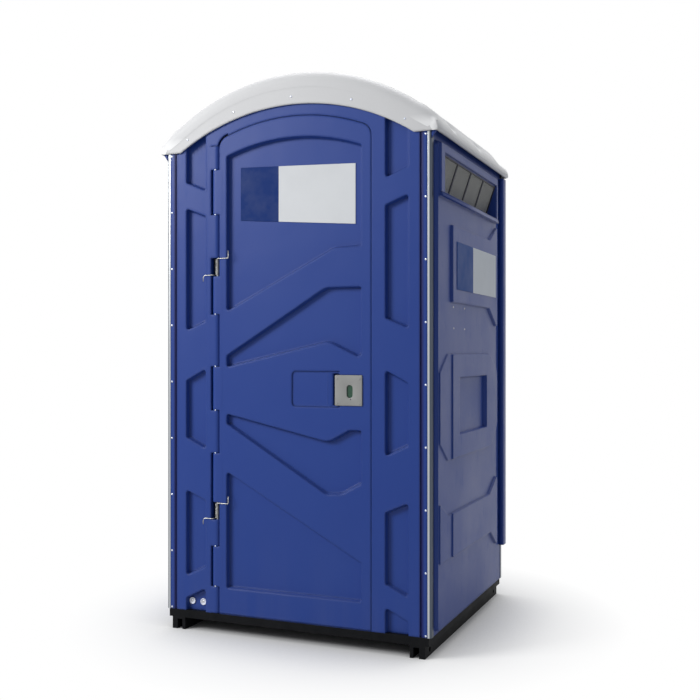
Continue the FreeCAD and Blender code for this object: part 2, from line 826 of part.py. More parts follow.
def side_mass(skin):
    """The side panel's stepped outside, or the same set in by the sheet's thickness."""
    flange = half_width - skin
    first = flange + bulge
    second = first + raise_height
    outlines = [(bulge_outline(), 20.0, flange, first, 5.0)]
    outlines += [(field, 8.0, first - 2, second, 3.5) for field in side_fields()]
    outlines += [(field, 8.0, first - 2, first + flank_rise, 2.5) for field in flank_fields()]
    parts = []
    for points, radius, x0, x1, taper in outlines:
        points = with_radius(points, radius) if skin == 0 else large_corners(points)
        parts.append(frustum(inset(turned_ccw(points), skin), 0, side_at, x0, x1, taper))
    return parts


def wedge(front, back, margin, outer):
    """The vent's recess: deep at its sill, shallow at its head."""
    face = half_width + bulge + raise_height
    corners = [(outer, vent_top + margin), (face - vent_shallow - margin, vent_top + margin),
               (face - vent_deep - margin, vent_bottom - margin), (outer, vent_bottom - margin)]
    points = [Vector(x, front - margin, z) for x, z in corners]
    return Part.Face(Part.makePolygon(points + points[:1])).extrude(Vector(0, back - front + 2 * margin, 0))


def slope_plate(inward0, inward1, y0, y1, from_top, from_bottom):
    """A flat piece on the vent's slope, between two depths behind the slope's outer face."""
    face = half_width + bulge + raise_height
    low = Vector(face - vent_deep, 0, vent_bottom)
    high = Vector(face - vent_shallow, 0, vent_top)
    along = Vector(high - low).normalize()
    inward = Vector(-along.z, 0, along.x)
    length = (high - low).Length
    corners = []
    for distance, depth in ((from_bottom, inward0), (length - from_top, inward0),
                            (length - from_top, inward1), (from_bottom, inward1)):
        corners.append(low + along * distance + inward * depth + Vector(0, y0, 0))
    return Part.Face(Part.makePolygon(corners + corners[:1])).extrude(Vector(0, y1 - y0, 0))


window_margin = 12.0


def bay_edges():
    inner = vent_back - vent_front - 2 * window_margin
    width = (inner - (vent_bays - 1) * vent_bar) / vent_bays
    edges = []
    for i in range(vent_bays):
        start = vent_front + window_margin + i * (width + vent_bar)
        edges.append((start, start + width))
    return edges


def make_side_panel():
    top = eave_height + eave_lip - roof_sheet - fit
    edge_y = half_depth - trim_leg - fit
    flange = box(half_width - wall, half_width, -edge_y, edge_y, floor_z, top)
    shell = fused([flange] + side_mass(0.0))
    inner = side_mass(wall)
    recess_field = [(field_front + 96, 1073), (field_back - 191, 1073),
                    (field_back - 191, 838), (field_front + 96, 838)]
    face = raised_face
    boss = frustum(grown(recess_field, 0, wall), 0, side_at, face - wall, recess_face - wall, 2.0)
    vent_boss = wedge(vent_front, vent_back, wall, face)
    shell = shell.cut(Part.makeCompound(inner[:1]))
    for piece in inner[1:]:
        shell = shell.cut(piece)
    vent_limits = box(half_width - 60, face, front_y, back_y, 0, eave_height)
    shell = fused([shell, boss, vent_boss.common(vent_limits)])
    shell = shell.cut(frustum(recess_field, 6.0, side_at, face, recess_face, 4.0))
    shell = shell.cut(wedge(vent_front, vent_back, 0.0, face + 1))
    hole = slope_plate(-1, wall + 6, vent_front + window_margin, vent_back - window_margin,
                       window_margin, window_margin)
    return shell.cut(hole)


def make_vent_grille():
    """Fixed grille on the vent's slope: a flat frame with upright bars."""
    plate = slope_plate(-grille_thickness, -0.0, vent_front + 1, vent_back - 1, 6, 6)
    holes = [slope_plate(-grille_thickness - 1, 1, y0, y1, window_margin, window_margin)
             for y0, y1 in bay_edges()]
    return plate.cut(Part.makeCompound(holes))


def make_vent_screen():
    """Insect screen behind the grille, seen as a net through each bay."""
    y0 = vent_front + window_margin + fit
    y1 = vent_back - window_margin - fit
    plate = slope_plate(0.0, screen_thickness, y0, y1, window_margin + fit, window_margin + fit)
    length = math.hypot(vent_deep - vent_shallow, vent_top - vent_bottom)
    columns = 2
    rows = 2
    strand = 6.0
    holes = []
    for start, end in bay_edges():
        step = (end - start - strand) / columns
        rise = (length - 2 * window_margin - 2 * strand) / rows
        for i in range(columns):
            for j in range(rows):
                low = window_margin + strand + j * rise
                holes.append(slope_plate(-1, screen_thickness + 1, start + strand + i * step,
                                         start + (i + 1) * step,
                                         length - low - rise + strand, low))
    return plate.cut(Part.makeCompound(holes))


def back_fields():
    outer = half_width - 89.0
    inner = 60.0
    fields = []
    for low_out, low_in, high_in, high_out in ((1300, 1350, 1960, 1900), (760, 800, 1230, 1180),
                                               (150, 150, 680, 640)):
        fields.append([(-outer, high_out), (-inner, high_in), (-inner, low_in), (-outer, low_out)])
        fields.append([(inner, high_in), (outer, high_out), (outer, low_out), (inner, low_in)])
    return fields


def make_back_panel():
    limits = panel_limits()
    bosses = [pocket_wall(field).common(limits) for field in back_fields()]
    shell = fused([panel_block()] + bosses)
    shell = shell.cut(Part.makeCompound([recess(field) for field in back_fields()]))
    return shell.mirror(Vector(0, 0, 0), Vector(0, 1, 0))


def make_corner_trim():
    """Front right corner extrusion: a round nose with two legs and a hidden clamping leg."""
    nose_x = half_width + trim_proud
    nose_y = front_y - trim_proud
    outline = [(flange_outer + fit, nose_y), (nose_x, nose_y), (nose_x, front_y + trim_leg),
               (half_width - 3.0, front_y + trim_leg), (half_width - 3.0, front_y + 4.0),
               (flange_outer + fit, front_y + 4.0)]
    body = frustum(outline, 0, level_at, floor_z, eave_height + eave_lip - roof_sheet - fit, 0.0)
    nose = [e for e in body.Edges if e.BoundBox.ZLength > 1000
            and abs(e.BoundBox.XMin - nose_x) < 0.1 and abs(e.BoundBox.YMin - nose_y) < 0.1]
    return body.makeFillet(trim_radius, nose)


def make_rear_post():
    """Moulded post that wraps the rear right corner above the base."""
    x0 = half_width + 1.5 + fit
    x1 = half_width + bulge + raise_height
    y0 = back_y - 56.0
    outline = [(x0, y0), (x1, y0, 7.0), (x1, back_y + 1.5, 10.0), (x0, back_y + 1.5)]
    body = frustum(outline, 0, level_at, 250.0, side_top, 0.0)
    hollow = box(x0 - 1, x1 - wall, y0 + wall, back_y - wall, 250.0 + wall, side_top - wall)
    return body.cut(hollow)


def roof_outline(half, radius):
    """The roof's round section, with straight haunches down to the eaves."""
    angle = math.radians(haunch_angle)
    apex = roof_top - roof_rib_radius + radius / math.cos(angle)
    haunch_z = apex - half * math.tan(angle)
    bottom = eave_height - 60.0
    corner = haunch_radius + radius - roof_rib_radius
    return [(half, bottom, 0), (half, haunch_z, corner), (0, apex, radius),
            (-half, haunch_z, corner), (-half, bottom, 0)]


def rounded_end(outline, end, way, edge, shoulder, drop, true_arcs=True):
    """Rounds a vault off at one end by a drop, in one bevel or two."""
    pieces = []
    if shoulder > 0:
        pieces.append(frustum(outline, 0, front_at, end + way * edge, end + way * shoulder, shoulder,
                              true_arcs))
    pieces.append(frustum(inset(outline, shoulder), 0, front_at, end + way * (shoulder or edge), end,
                          drop - shoulder, true_arcs))
    return pieces


def roof_band(half, radius, y0, y1, edge0, edge1):
    """One raised or lowered band of the roof."""
    outline = turned_ccw(roof_outline(half, radius))
    pieces = [frustum(outline, 0, front_at, y0 + edge0, y1 - edge1, 0.0)]
    for end, edge, way in ((y0, edge0, 1), (y1, edge1, -1)):
        if edge > rib_edge:
            pieces += rounded_end(outline, end, way, edge, 0.3 * edge, edge)
        else:
            pieces += rounded_end(outline, end, way, edge, 0.0, roof_rib_rise + 1.0)
    return pieces


def roof_lip(skin):
    """The straight brim round the roof."""
    half = eave_half_width - skin
    deep = -front_y + front_overhang - skin
    outline = [(-half, -deep), (half, -deep), (half, deep), (-half, deep)]
    corner = 12.0 if skin == 0 else 0
    return frustum(outline, corner, level_at, eave_height - 5, eave_height + eave_lip - skin, 0.0)


def roof_mass():
    """The roof's outside: a low vault, three raised bands across it and the brim."""
    front = front_y - front_overhang
    base_half = haunch_half_width - 8.0
    pieces = roof_band(base_half, roof_rib_radius - roof_rib_rise, front, -front, roof_edge, roof_edge)
    for y0, y1 in rib_edges:
        foremost = y0 < front_y
        pieces += roof_band(haunch_half_width, roof_rib_radius, front if foremost else y0, y1,
                            roof_edge if foremost else rib_edge, rib_edge)
    return pieces + [roof_lip(0.0)]


def roof_hollow():
    """The room under the roof, with the bands hollow as well."""
    front = front_y - front_overhang + roof_sheet
    soft = roof_edge - roof_sheet
    base_half = haunch_half_width - 8.0 - roof_sheet
    outline = turned_ccw(roof_outline(base_half, roof_rib_radius - roof_rib_rise - roof_sheet))
    pieces = [frustum(outline, 0, front_at, front + soft, -front - soft, 0.0, False), roof_lip(roof_sheet)]
    for end, way in ((front, 1), (-front, -1)):
        pieces += rounded_end(outline, end, way, soft, 0.3 * soft, soft, False)
    outline = roof_outline(haunch_half_width - roof_sheet, roof_rib_radius - roof_sheet)
    for y0, y1 in rib_edges:
        start = front + soft if y0 < front_y else y0 + rib_edge + roof_sheet / 2
        pieces.append(frustum(outline, 0, front_at, start, y1 - rib_edge - roof_sheet / 2, 0.0, False))
    return pieces


def make_roof():
    shell = fused(roof_mass()).cut(fused(roof_hollow()))
    far = 2 * half_width
    shell = shell.cut(box(-far, far, -far, far, eave_height - 120, eave_height))
    arch = rod(fascia_arch_radius, (0, -far, fascia_arch_top - fascia_arch_radius), (0, 1, 0), 2 * far)
    half = half_width - 49.0
    arch = arch.common(box(-half, half, -far, far, eave_height - 5, fascia_arch_top + 5))
    return shell.cut(arch)


def make_gusset():
    """Corner bracket under the eave, front right."""
    x0 = half_width + 1.5 + fit
    x1 = eave_half_width - roof_sheet - 2 * fit
    top = eave_height + eave_lip - roof_sheet - fit
    y = front_y + 2
    points = [Vector(x0, y, top), Vector(x1, y, top), Vector(x1, y, eave_height),
              Vector(x0, y, eave_height - eave_overhang)]
    return Part.Face(Part.makePolygon(points + points[:1])).extrude(Vector(0, 4, 0))


def make_marker_discs():
    discs = []
    for x in (21.0 - column_outer, -22.0 - column_inner):
        discs.append(prism(12, 12.5, (x, front_y + field_depth - fit, 126.0), (0, -1, 0), 3.0, 12.0))
    return discs


def make_base_tray():
    half = half_width - 9.0
    edge = half - 8
    outer = box(-half, half, front_y, back_y, runner_height, floor_z)
    inner = box(-edge, edge, front_y + 8, back_y - 8, runner_height - 1, floor_z - 8)
    ribs = [box(x - 3, x + 3, front_y + 8, back_y - 8, runner_height, floor_z - 8)
            for x in (-300, -100, 100, 300)]
    pads = [box(x0, x0 + 70, front_y + 8, back_y - 8, runner_height, floor_z - 8)
            for x0 in (-edge, edge - 70)]
    return fused([outer.cut(inner)] + ribs + pads)


runner_width = 62.0
runner_outer = half_width - 24.0
runner_inner = runner_outer - runner_width


def make_runner():
    """Right skid: an upside-down channel, its outer leg drilled at both ends for a tie-down."""
    y0 = front_y
    y1 = back_y
    body = box(runner_inner, runner_outer, y0, y1, 0, runner_height)
    channel = box(runner_inner + 14, runner_outer - 24, y0 - 1, y1 + 1, -1, runner_height - 8)
    body = body.cut(channel)
    for y in (y0 + 60, y1 - 60):
        body = body.cut(rod(10.0, (runner_outer - 25, y, 24), (1, 0, 0), 26))
    return body


# Inside pieces

def oval(half_x, half_y, centre_y):
    corner = half_x * 0.98
    return [(-half_x, centre_y - half_y, corner), (half_x, centre_y - half_y, corner),
            (half_x, centre_y + half_y, corner), (-half_x, centre_y + half_y, corner)]


def make_tank():
    """Holding tank with its seat deck, moulded in one."""
    half = half_width - tank_side_gap
    y1 = back_y - frame_depth - 2
    outline = [(-half, tank_front), (half, tank_front), (half, y1), (-half, y1)]
    body = frustum(outline, 24.0, level_at, floor_z, tank_top, 12.0)
    hollow = frustum(grown(outline, 24.0, -wall), 0, level_at, floor_z + wall, tank_top - wall, 12.0)
    body = body.cut(hollow)
    collar = frustum(oval(bowl_half_width + 22, bowl_half_length + 22, seat_y), 5.0, level_at,
                     tank_top - wall, tank_top + 6, 2.0)
    body = fused([body, collar])
    body = body.cut(frustum(oval(bowl_half_width, bowl_half_length, seat_y), 5.0, level_at,
                            tank_top - 20, tank_top + 20, 0.0))
    posts = []
    for x in (-62.0, 62.0):
        posts.append(box(x - 9, x + 9, hinge_seat_y - 12, hinge_seat_y + 12,
                         tank_top - wall, hinge_seat_z + 9))
    body = fused([body] + posts)
    body = body.cut(flat_bore(8, 4.0, (-100, hinge_seat_y, hinge_seat_z), (1, 0, 0), 200))
    body = body.cut(flat_bore(24, vent_pipe_radius + fit, (pipe_x, pipe_y, tank_top - 20), (0, 0, 1), 40))
    return body.cut(flat_bore(16, drain_radius + fit, (drain_x, tank_front - 10, drain_z), (0, 1, 0), 60))


drain_x = -(recess_face - wall) + fit + 45.0
drain_y = -215.0
drain_z = 400.0
drain_radius = 20.0
drain_bend = 45.0
hinge_seat_y = seat_y + seat_half_length + 26.0
hinge_seat_z = tank_top + 30.0
pipe_x = 139.0 - half_width
pipe_y = half_depth - 125.0
seat_z = tank_top + 6.0 + fit


def make_seat():
    outer = frustum(oval(seat_half_width, seat_half_length, seat_y), 5.0, level_at,
                    seat_z, seat_z + seat_thickness, 6.0)
    inner = frustum(oval(bowl_half_width + 2, bowl_half_length + 2, seat_y), 5.0, level_at,
                    seat_z - 1, seat_z + seat_thickness + 1, -5.0)
    ring = outer.cut(inner)
    lugs = []
    for side in (-1, 1):
        x = side * 36.0
        arm = box(x - 12, x + 12, seat_y + seat_half_length - 30, hinge_seat_y + 2,
                  seat_z + 4, seat_z + seat_thickness)
        eye = prism(12, 11.0, (x - 12, hinge_seat_y, hinge_seat_z), (1, 0, 0), 24, 11.0)
        neck = box(x - 12, x + 12, hinge_seat_y - 10, hinge_seat_y + 2, seat_z + 4, hinge_seat_z)
        lugs += [arm, eye, neck]
    whole = fused([ring] + lugs)
    return whole.cut(flat_bore(8, 4.0 + pin_clearance, (-100, hinge_seat_y, hinge_seat_z), (1, 0, 0), 200))


def make_lid():
    """Seat lid, modelled standing open."""
    z0 = seat_z + seat_thickness + 1.0
    plate = frustum(oval(seat_half_width - 2, seat_half_length - 2, seat_y), 5.0, level_at,
                    z0, z0 + lid_thickness, 9.0)
    lugs = []
    for side in (-1, 1):
        x = side * 12.0
        arm = box(x - 9, x + 9, seat_y + seat_half_length - 40, hinge_seat_y + 2, z0, z0 + 9)
        eye = prism(12, 10.0, (x - 9, hinge_seat_y, hinge_seat_z), (1, 0, 0), 18, 10.0)
        lugs += [arm, eye]
    whole = fused([plate] + lugs)
    whole = whole.cut(flat_bore(8, 4.0 + pin_clearance, (-100, hinge_seat_y, hinge_seat_z), (1, 0, 0), 200))
    whole.rotate(Vector(0, hinge_seat_y, hinge_seat_z), Vector(1, 0, 0), lid_open_turn)
    return whole


lid_open_turn = -94.0


def make_urinal():
    """Wall urinal on the left panel, an open-topped bowl with a spout."""
    x0 = -(recess_face - wall) + fit
    outline = [(x0, -330, 6.0), (x0 + 135, -300, 50.0), (x0 + 135, -130, 50.0), (x0, -100, 6.0)]
    body = frustum(outline, 6.0, level_at, 860.0, 560.0, 22.0)
    inner = frustum(grown(outline, 6.0, -6.0), 4.0, level_at, 861.0, 590.0, 20.0)
    back = box(x0, x0 + 6, -330, -100, 560, 960)
    pad_x = -(raised_face - wall) + fit
    back = fused([back, box(pad_x, x0 + 6, -320, -110, 765, 800)])
    spout = prism(12, drain_radius, (drain_x, drain_y, 530), (0, 0, 1), 60, drain_radius)
    bore = prism(12, drain_radius - 5.0, (drain_x, drain_y, 529), (0, 0, 1), 80, drain_radius - 5.0)
    return fused([body.cut(inner), back, spout]).cut(bore)


def make_drain_pipe():
    """Rigid drain from the urinal's spout into the tank's front."""
    points = [Vector(drain_x, drain_y, 530.0)]
    for turn in (15.0, 45.0, 75.0):
        angle = math.radians(turn)
        spoke = drain_bend / math.cos(math.radians(15.0))
        points.append(Vector(drain_x, drain_y + drain_bend - spoke * math.cos(angle),
                             drain_z + drain_bend - spoke * math.sin(angle)))
    points.append(Vector(drain_x, tank_front + 24, drain_z))
    return mitred_tube(points, drain_radius, 12).cut(mitred_tube(points, drain_radius - 5.0, 12))


holder_x = base_face - wall - fit
roll_y = -150.0
roll_z = 650.0


def make_paper_holder():
    """Bracket on the right panel with a rod for two rolls."""
    plate = box(holder_x - 6, holder_x, roll_y - 125, roll_y + 125, roll_z - 60, roll_z + 80)
    arms = []
    for y in (roll_y - 125, roll_y + 119):
        arms.append(box(holder_x - 80, holder_x - 6, y, y + 6, roll_z - 18, roll_z + 18))
    return fused([plate] + arms)


def make_paper_rod():
    return prism(12, rod_radius, (holder_x - 66, roll_y - 119, roll_z), (0, 1, 0), 238, rod_radius)


roll_drop = roll_bore - rod_radius - fit


def make_roll(start):
    y0 = roll_y + start
    middle_x = holder_x - 66
    middle_z = roll_z - roll_drop
    outer = prism(24, roll_radius, (middle_x, y0, middle_z), (0, 1, 0), roll_length, roll_radius)
    return outer.cut(flat_bore(12, roll_bore, (middle_x, y0 - 1, middle_z), (0, 1, 0), roll_length + 2))


def make_vent_pipe():
    top = roof_top - 228.0
    outer = prism(24, vent_pipe_radius, (pipe_x, pipe_y, tank_top - 10), (0, 0, 1), top - tank_top + 10,
                  vent_pipe_radius)
    return outer.cut(flat_bore(24, vent_pipe_radius - 3.5, (pipe_x, pipe_y, tank_top - 11), (0, 0, 1),
                               top - tank_top + 12))


clip_z = 1500.0
clip_height = 25.0


def make_pipe_clip():
    reach = vent_pipe_radius + 5
    block = box(pipe_x - reach, pipe_x + reach, pipe_y - reach, back_y - frame_depth,
                clip_z, clip_z + clip_height)
    return block.cut(prism(20, vent_pipe_radius + 1.5, (pipe_x, pipe_y, clip_z - 10), (0, 0, 1),
                           clip_height + 20, vent_pipe_radius + 1.5))


hook_y = -40.0
hook_z = 1600.0


def make_coat_hook():
    x = raised_face - wall - fit
    plate = box(x - 5, x, hook_y - 20, hook_y + 20, hook_z - 40, hook_z + 40)
    peg = prism(8, 7.0, (x, hook_y, hook_z - 10), (-1, 0, 0.45), 60, 6.0)
    return fused([plate, peg.common(box(x - 80, x, hook_y - 40, hook_y + 40, hook_z - 100, hook_z + 100))])


save("base_tray", [make_base_tray()])
runner = make_runner()
save("skid_runner_right", [runner])
save("skid_runner_left", [mirrored(runner)])
save("front_frame", [make_front_frame()])
save("frame_liner", [make_frame_liner()])
save("door_skin", [make_door_skin()])
save("door_liner", [make_door_liner()])
save("hinge_pin", [rod(pin_radius, (hinge_x, hinge_y, floor_z + 1), (0, 0, 1), pin_top - floor_z - 1.5)])
save("closer_springs", [make_spring(*notch) for notch in spring_notches])
for notch in spring_notches:
    print_least_gap(*notch)
save("latch_plate", [make_latch_plate()])
save("occupancy_indicator", [make_indicator()])
save("latch_case", [make_latch_case()])
save("latch_bolt", [make_bolt()])
save("thumb_turn", [make_thumb_turn()])
save("latch_keeper", [make_keeper()])
save("inner_pull_handle", [make_inner_pull()])
panel = make_side_panel()
save("side_panel_right", [panel])
save("side_panel_left", [mirrored(panel)])
grille = make_vent_grille()
save("vent_grille_right", [grille])
save("vent_grille_left", [mirrored(grille)])
screen = make_vent_screen()
save("vent_screen_right", [screen])
save("vent_screen_left", [mirrored(screen)])
save("back_panel", [make_back_panel()])
trim = make_corner_trim()
rear_trim = trim.mirror(Vector(0, 0, 0), Vector(0, 1, 0))
save("corner_trim_front_right", [trim])
save("corner_trim_front_left", [mirrored(trim)])
save("corner_trim_rear_right", [rear_trim])
save("corner_trim_rear_left", [mirrored(rear_trim)])
post = make_rear_post()
save("rear_post_right", [post])
save("rear_post_left", [mirrored(post)])
save("roof", [make_roof()])
gusset = make_gusset()
save("eave_gussets", [gusset, mirrored(gusset)])
save("marker_discs", make_marker_discs())
save("holding_tank", [make_tank()])
save("seat_hinge_pin", [rod(4.0, (-72, hinge_seat_y, hinge_seat_z), (1, 0, 0), 144)])
save("toilet_seat", [make_seat()])
save("seat_lid", [make_lid()])
save("urinal", [make_urinal()])
save("urinal_drain_pipe", [make_drain_pipe()])
save("paper_holder", [make_paper_holder()])
save("paper_rod", [make_paper_rod()])
save("paper_roll_front", [make_roll(-roll_length - 8)])
save("paper_roll_rear", [make_roll(8)])
save("vent_pipe", [make_vent_pipe()])
save("vent_pipe_clip", [make_pipe_clip()])
save("coat_hook", [make_coat_hook()])
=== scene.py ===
import bpy
import bmesh
import math
from mathutils import Matrix, Vector


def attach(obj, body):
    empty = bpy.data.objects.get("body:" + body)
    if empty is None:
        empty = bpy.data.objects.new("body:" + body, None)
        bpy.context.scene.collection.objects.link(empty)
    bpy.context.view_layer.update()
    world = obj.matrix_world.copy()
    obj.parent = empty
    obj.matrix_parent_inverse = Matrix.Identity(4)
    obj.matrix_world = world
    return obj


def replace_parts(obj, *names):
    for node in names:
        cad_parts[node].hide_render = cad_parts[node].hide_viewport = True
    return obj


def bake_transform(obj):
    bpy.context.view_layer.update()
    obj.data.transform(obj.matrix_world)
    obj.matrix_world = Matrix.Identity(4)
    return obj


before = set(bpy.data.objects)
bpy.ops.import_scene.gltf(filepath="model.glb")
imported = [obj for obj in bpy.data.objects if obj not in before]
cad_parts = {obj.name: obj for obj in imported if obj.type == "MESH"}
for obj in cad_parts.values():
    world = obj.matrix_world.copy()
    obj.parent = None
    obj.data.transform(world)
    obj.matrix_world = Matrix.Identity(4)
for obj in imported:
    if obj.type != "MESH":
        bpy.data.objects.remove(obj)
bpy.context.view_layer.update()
print("frame loaded:", len(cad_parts), "nodes")

# the whole cabin, in metres; X right, Y to the back, Z up, ground at 0
cabin = {
    "frontY": -0.555,
    "backY": 0.555,
    "sideX": 0.603,          # side panels' main level
    "raisedX": 0.613,        # side panels' raised fields
    "blue": (0.0118, 0.044, 0.245, 1),
    "blueWorn": (0.024, 0.066, 0.265, 1),
    "dust": (0.36, 0.35, 0.33, 1),
}
toFront, toBack, toRight = Vector((0, -1, 0)), Vector((0, 1, 0)), Vector((1, 0, 0))
quarter = math.radians(90)
upright = Matrix.Rotation(quarter, 4, "X")      # turns a flat outline to face the front


# shader expressions

class Wire:
    # a socket that takes part in sums and products
    def __init__(self, nodes, socket):
        self.nodes = nodes
        self.socket = socket

    def calc(self, operation, a, b=0.0):
        return self.nodes.node("ShaderNodeMath", {"operation": operation}, {0: a, 1: b})

    def __add__(self, other):
        return self.calc("ADD", self, other)

    def __sub__(self, other):
        return self.calc("SUBTRACT", self, other)

    def __rsub__(self, other):
        return self.calc("SUBTRACT", other, self)

    def __mul__(self, other):
        return self.calc("MULTIPLY", self, other)

    def __pow__(self, other):
        return self.calc("POWER", self, other)

    def __gt__(self, other):
        return self.calc("GREATER_THAN", self, other)

    def __or__(self, other):
        # the stronger of two masks
        return self.calc("MAXIMUM", self, other)

    def __abs__(self):
        return self.calc("ABSOLUTE", self)

    def span(self, low, high, toLow=0.0, toHigh=1.0):
        return self.nodes.node("ShaderNodeMapRange", {"clamp": True},
                               {0: self, 1: low, 2: high, 3: toLow, 4: toHigh})


class Nodes:
    # a node tree and the one way in which it grows
    def __init__(self, tree):
        self.tree = tree

    def node(self, kind, settings=None, sockets=None, output=0):
        made = self.tree.nodes.new(kind)
        for key, value in (settings or {}).items():
            setattr(made, key, value)
        for key, value in (sockets or {}).items():
            self.join(made.inputs[key], value)
        return Wire(self, made.outputs[output])

    def join(self, socket, value):
        if isinstance(value, Wire):
            self.tree.links.new(value.socket, socket)
        else:
            socket.default_value = value

    def ray(self, name):
        return self.node("ShaderNodeLightPath", {}, {}, name)

    def inView(self):
        # seen by the camera, in a gloss or through glass
        return self.ray("Is Camera Ray") | self.ray("Is Glossy Ray") | self.ray("Is Transmission Ray")


class Paint(Nodes):
    # one material, its patterns laid on Object coordinates
    def __init__(self, name, **constants):
        self.material = bpy.data.materials.new(name)
        self.material.use_nodes = True
        super().__init__(self.material.node_tree)
        self.shader = self.tree.nodes["Principled BSDF"]
        self.place = self.node("ShaderNodeTexCoord", {}, {}, "Object")
        for socket, value in constants.items():
            self.set(socket.replace("_", " "), value)

    def set(self, name, value):
        self.join(self.shader.inputs[name], value)

    def axis(self, index):
        return self.node("ShaderNodeSeparateXYZ", {}, {0: self.place}, index)

    def stretched(self, scale):
        return self.node("ShaderNodeMapping", {}, {0: self.place, 3: scale})

    def noise(self, scale, detail=3.0, rough=0.55, stretch=None):
        where = self.stretched(stretch) if stretch else self.place
        return self.node("ShaderNodeTexNoise", {},
                         {"Vector": where, "Scale": scale, "Detail": detail, "Roughness": rough}, "Fac")

    def cells(self, scale):
        return self.node("ShaderNodeTexVoronoi", {}, {"Vector": self.place, "Scale": scale}, "Distance")

    def blend(self, amount, first, second):
        return self.node("ShaderNodeMix", {"data_type": "RGBA"}, {0: amount, 6: first, 7: second}, 2)

    def normal(self):
        return self.node("ShaderNodeNewGeometry", {}, {}, "Normal")

    def softened(self, radius):
        return self.node("ShaderNodeBevel", {"samples": 4}, {"Radius": radius})

    def facing(self):
        # how far the surface looks up, from -1 to 1
        return self.node("ShaderNodeSeparateXYZ", {}, {0: self.normal()}, 2)

    def edges(self, radius, low, high):
        # where the surface bends sharply
        across = self.node("ShaderNodeVectorMath", {"operation": "DOT_PRODUCT"},
                           {0: self.softened(radius), 1: self.normal()}, "Value")
        return (1.0 - across).span(low, high)

    def relief(self, *layers, radius=None):
        # bumps laid one over the other: (height, strength, distance)
        normal = self.softened(radius) if radius else None
        for height, strength, distance in layers:
            sockets = {"Height": height, "Strength": strength, "Distance": distance}
            if normal:
                sockets["Normal"] = normal
            normal = self.node("ShaderNodeBump", {}, sockets)
        self.set("Normal", normal)


# moulded polyethylene: walls, door, roof, liners and tank
shell = {
    "mottle": 0.14, "rub": 0.35,                # the worn colour in broad patches and on edges
    "splash": 0.05, "splashHeights": (0.75, 0.05),      # dust streaks near the ground
    "settled": 0.08,                            # dust specks on what looks up
    "waves": (0.5, 0.006), "grain": (0.12, 0.0006), "fineGrain": (0.1, 0.0005),     # strength, depth
    "soften": 0.012,                            # how softly its edges turn
}
roofColours = {"colour": (0.62, 0.62, 0.625, 1), "worn": (0.7, 0.7, 0.705, 1)}
blueColours = {"colour": cabin["blue"], "worn": cabin["blueWorn"]}
shells = {
    "shellBlue": dict(**blueColours),
    # seam: a painted shade along the groove: how far it lies from the middle, half its width, its colour
    "frameBlue": dict(**blueColours, seam=(0.5505, 0.012, (0.003, 0.008, 0.1, 1))),
    # the sill: three and a half times the dust, settling on what looks up, which also paints a highlight on
    # its top
    "sillBlue": dict(**blueColours, dusty=3.5),
    "roofGrey": dict(**roofColours, dusty=0.6, roughness=0.46),
    # brim: the height where the shell's colour ends, where the brim's begins, and that lighter colour,
    # painted light on the brim
    "skinGrey": dict(**roofColours, dusty=0.6, roughness=0.46, brim=(2.085, 2.05, (0.83, 0.83, 0.83, 1)),
                     soften=0.002),
    "linerGrey": dict(colour=(0.36, 0.375, 0.39, 1), worn=(0.45, 0.46, 0.47, 1), dusty=0.8, roughness=0.5),
    "tankGrey": dict(colour=(0.07, 0.075, 0.082, 1), worn=(0.13, 0.135, 0.14, 1), dusty=0.8, roughness=0.48),
}


def mouldedShell(name, colour, worn, dusty=1.0, roughness=0.42, seam=None, brim=None, soften=shell["soften"]):
    f = shell
    paint = Paint(name, IOR=1.49, Specular_IOR_Level=0.3)
    height = paint.axis(2)
    mottle = paint.noise(2.6, 4.0)                               # broad patches
    streaks = paint.noise(9.0, 4.0, 0.6, (1.0, 1.0, 0.12))       # run down the walls
    splash = height.span(*f["splashHeights"]) ** 2.0 * streaks.span(0.35, 0.75) * f["splash"]
    # dust on what looks up and near the ground; where it is made heavy, on the sill, it is also a painted
    # highlight
    dirt = (splash + paint.facing().span(0.3, 0.95) * f["settled"] * paint.noise(210.0, 2.0)) * dusty
    rub = paint.edges(0.004, 0.05, 0.4) * paint.noise(34.0, 3.0).span(0.45, 0.75) * f["rub"]
    base = paint.blend(mottle.span(0.3, 0.75) * f["mottle"], colour, worn)
    base = paint.blend(rub, base, worn)
    base = paint.blend(dirt, base, cabin["dust"])
    if brim:
        # painted light: the brim lighter towards its foot
        top, foot, brimLighter = brim
        base = paint.blend(height.span(top, foot), base, brimLighter)
    if seam:
        # painted shade: a darker band along the groove that runs up the panel, for the shadow of its step
        middle, reach, seamShadeColour = seam
        seamShade = abs(abs(paint.axis(0)) - middle).span(reach, reach * 0.3)
        base = paint.blend(seamShade, base, seamShadeColour)
    paint.set("Base Color", base)
    scuffs = paint.noise(46.0, 5.0, 0.7, (1.0, 1.0, 0.25)).span(0.58, 0.72)
    rough = mottle.span(0.3, 0.7, roughness - 0.04, roughness + 0.07)
    paint.set("Roughness", rough + scuffs * 0.1 + dirt * 0.3)
    paint.relief((paint.noise(3.2, 2.0), *f["waves"]), (paint.cells(620.0), *f["grain"]),
                 (paint.noise(950.0, 2.0), *f["fineGrain"]), radius=soften)
    return paint


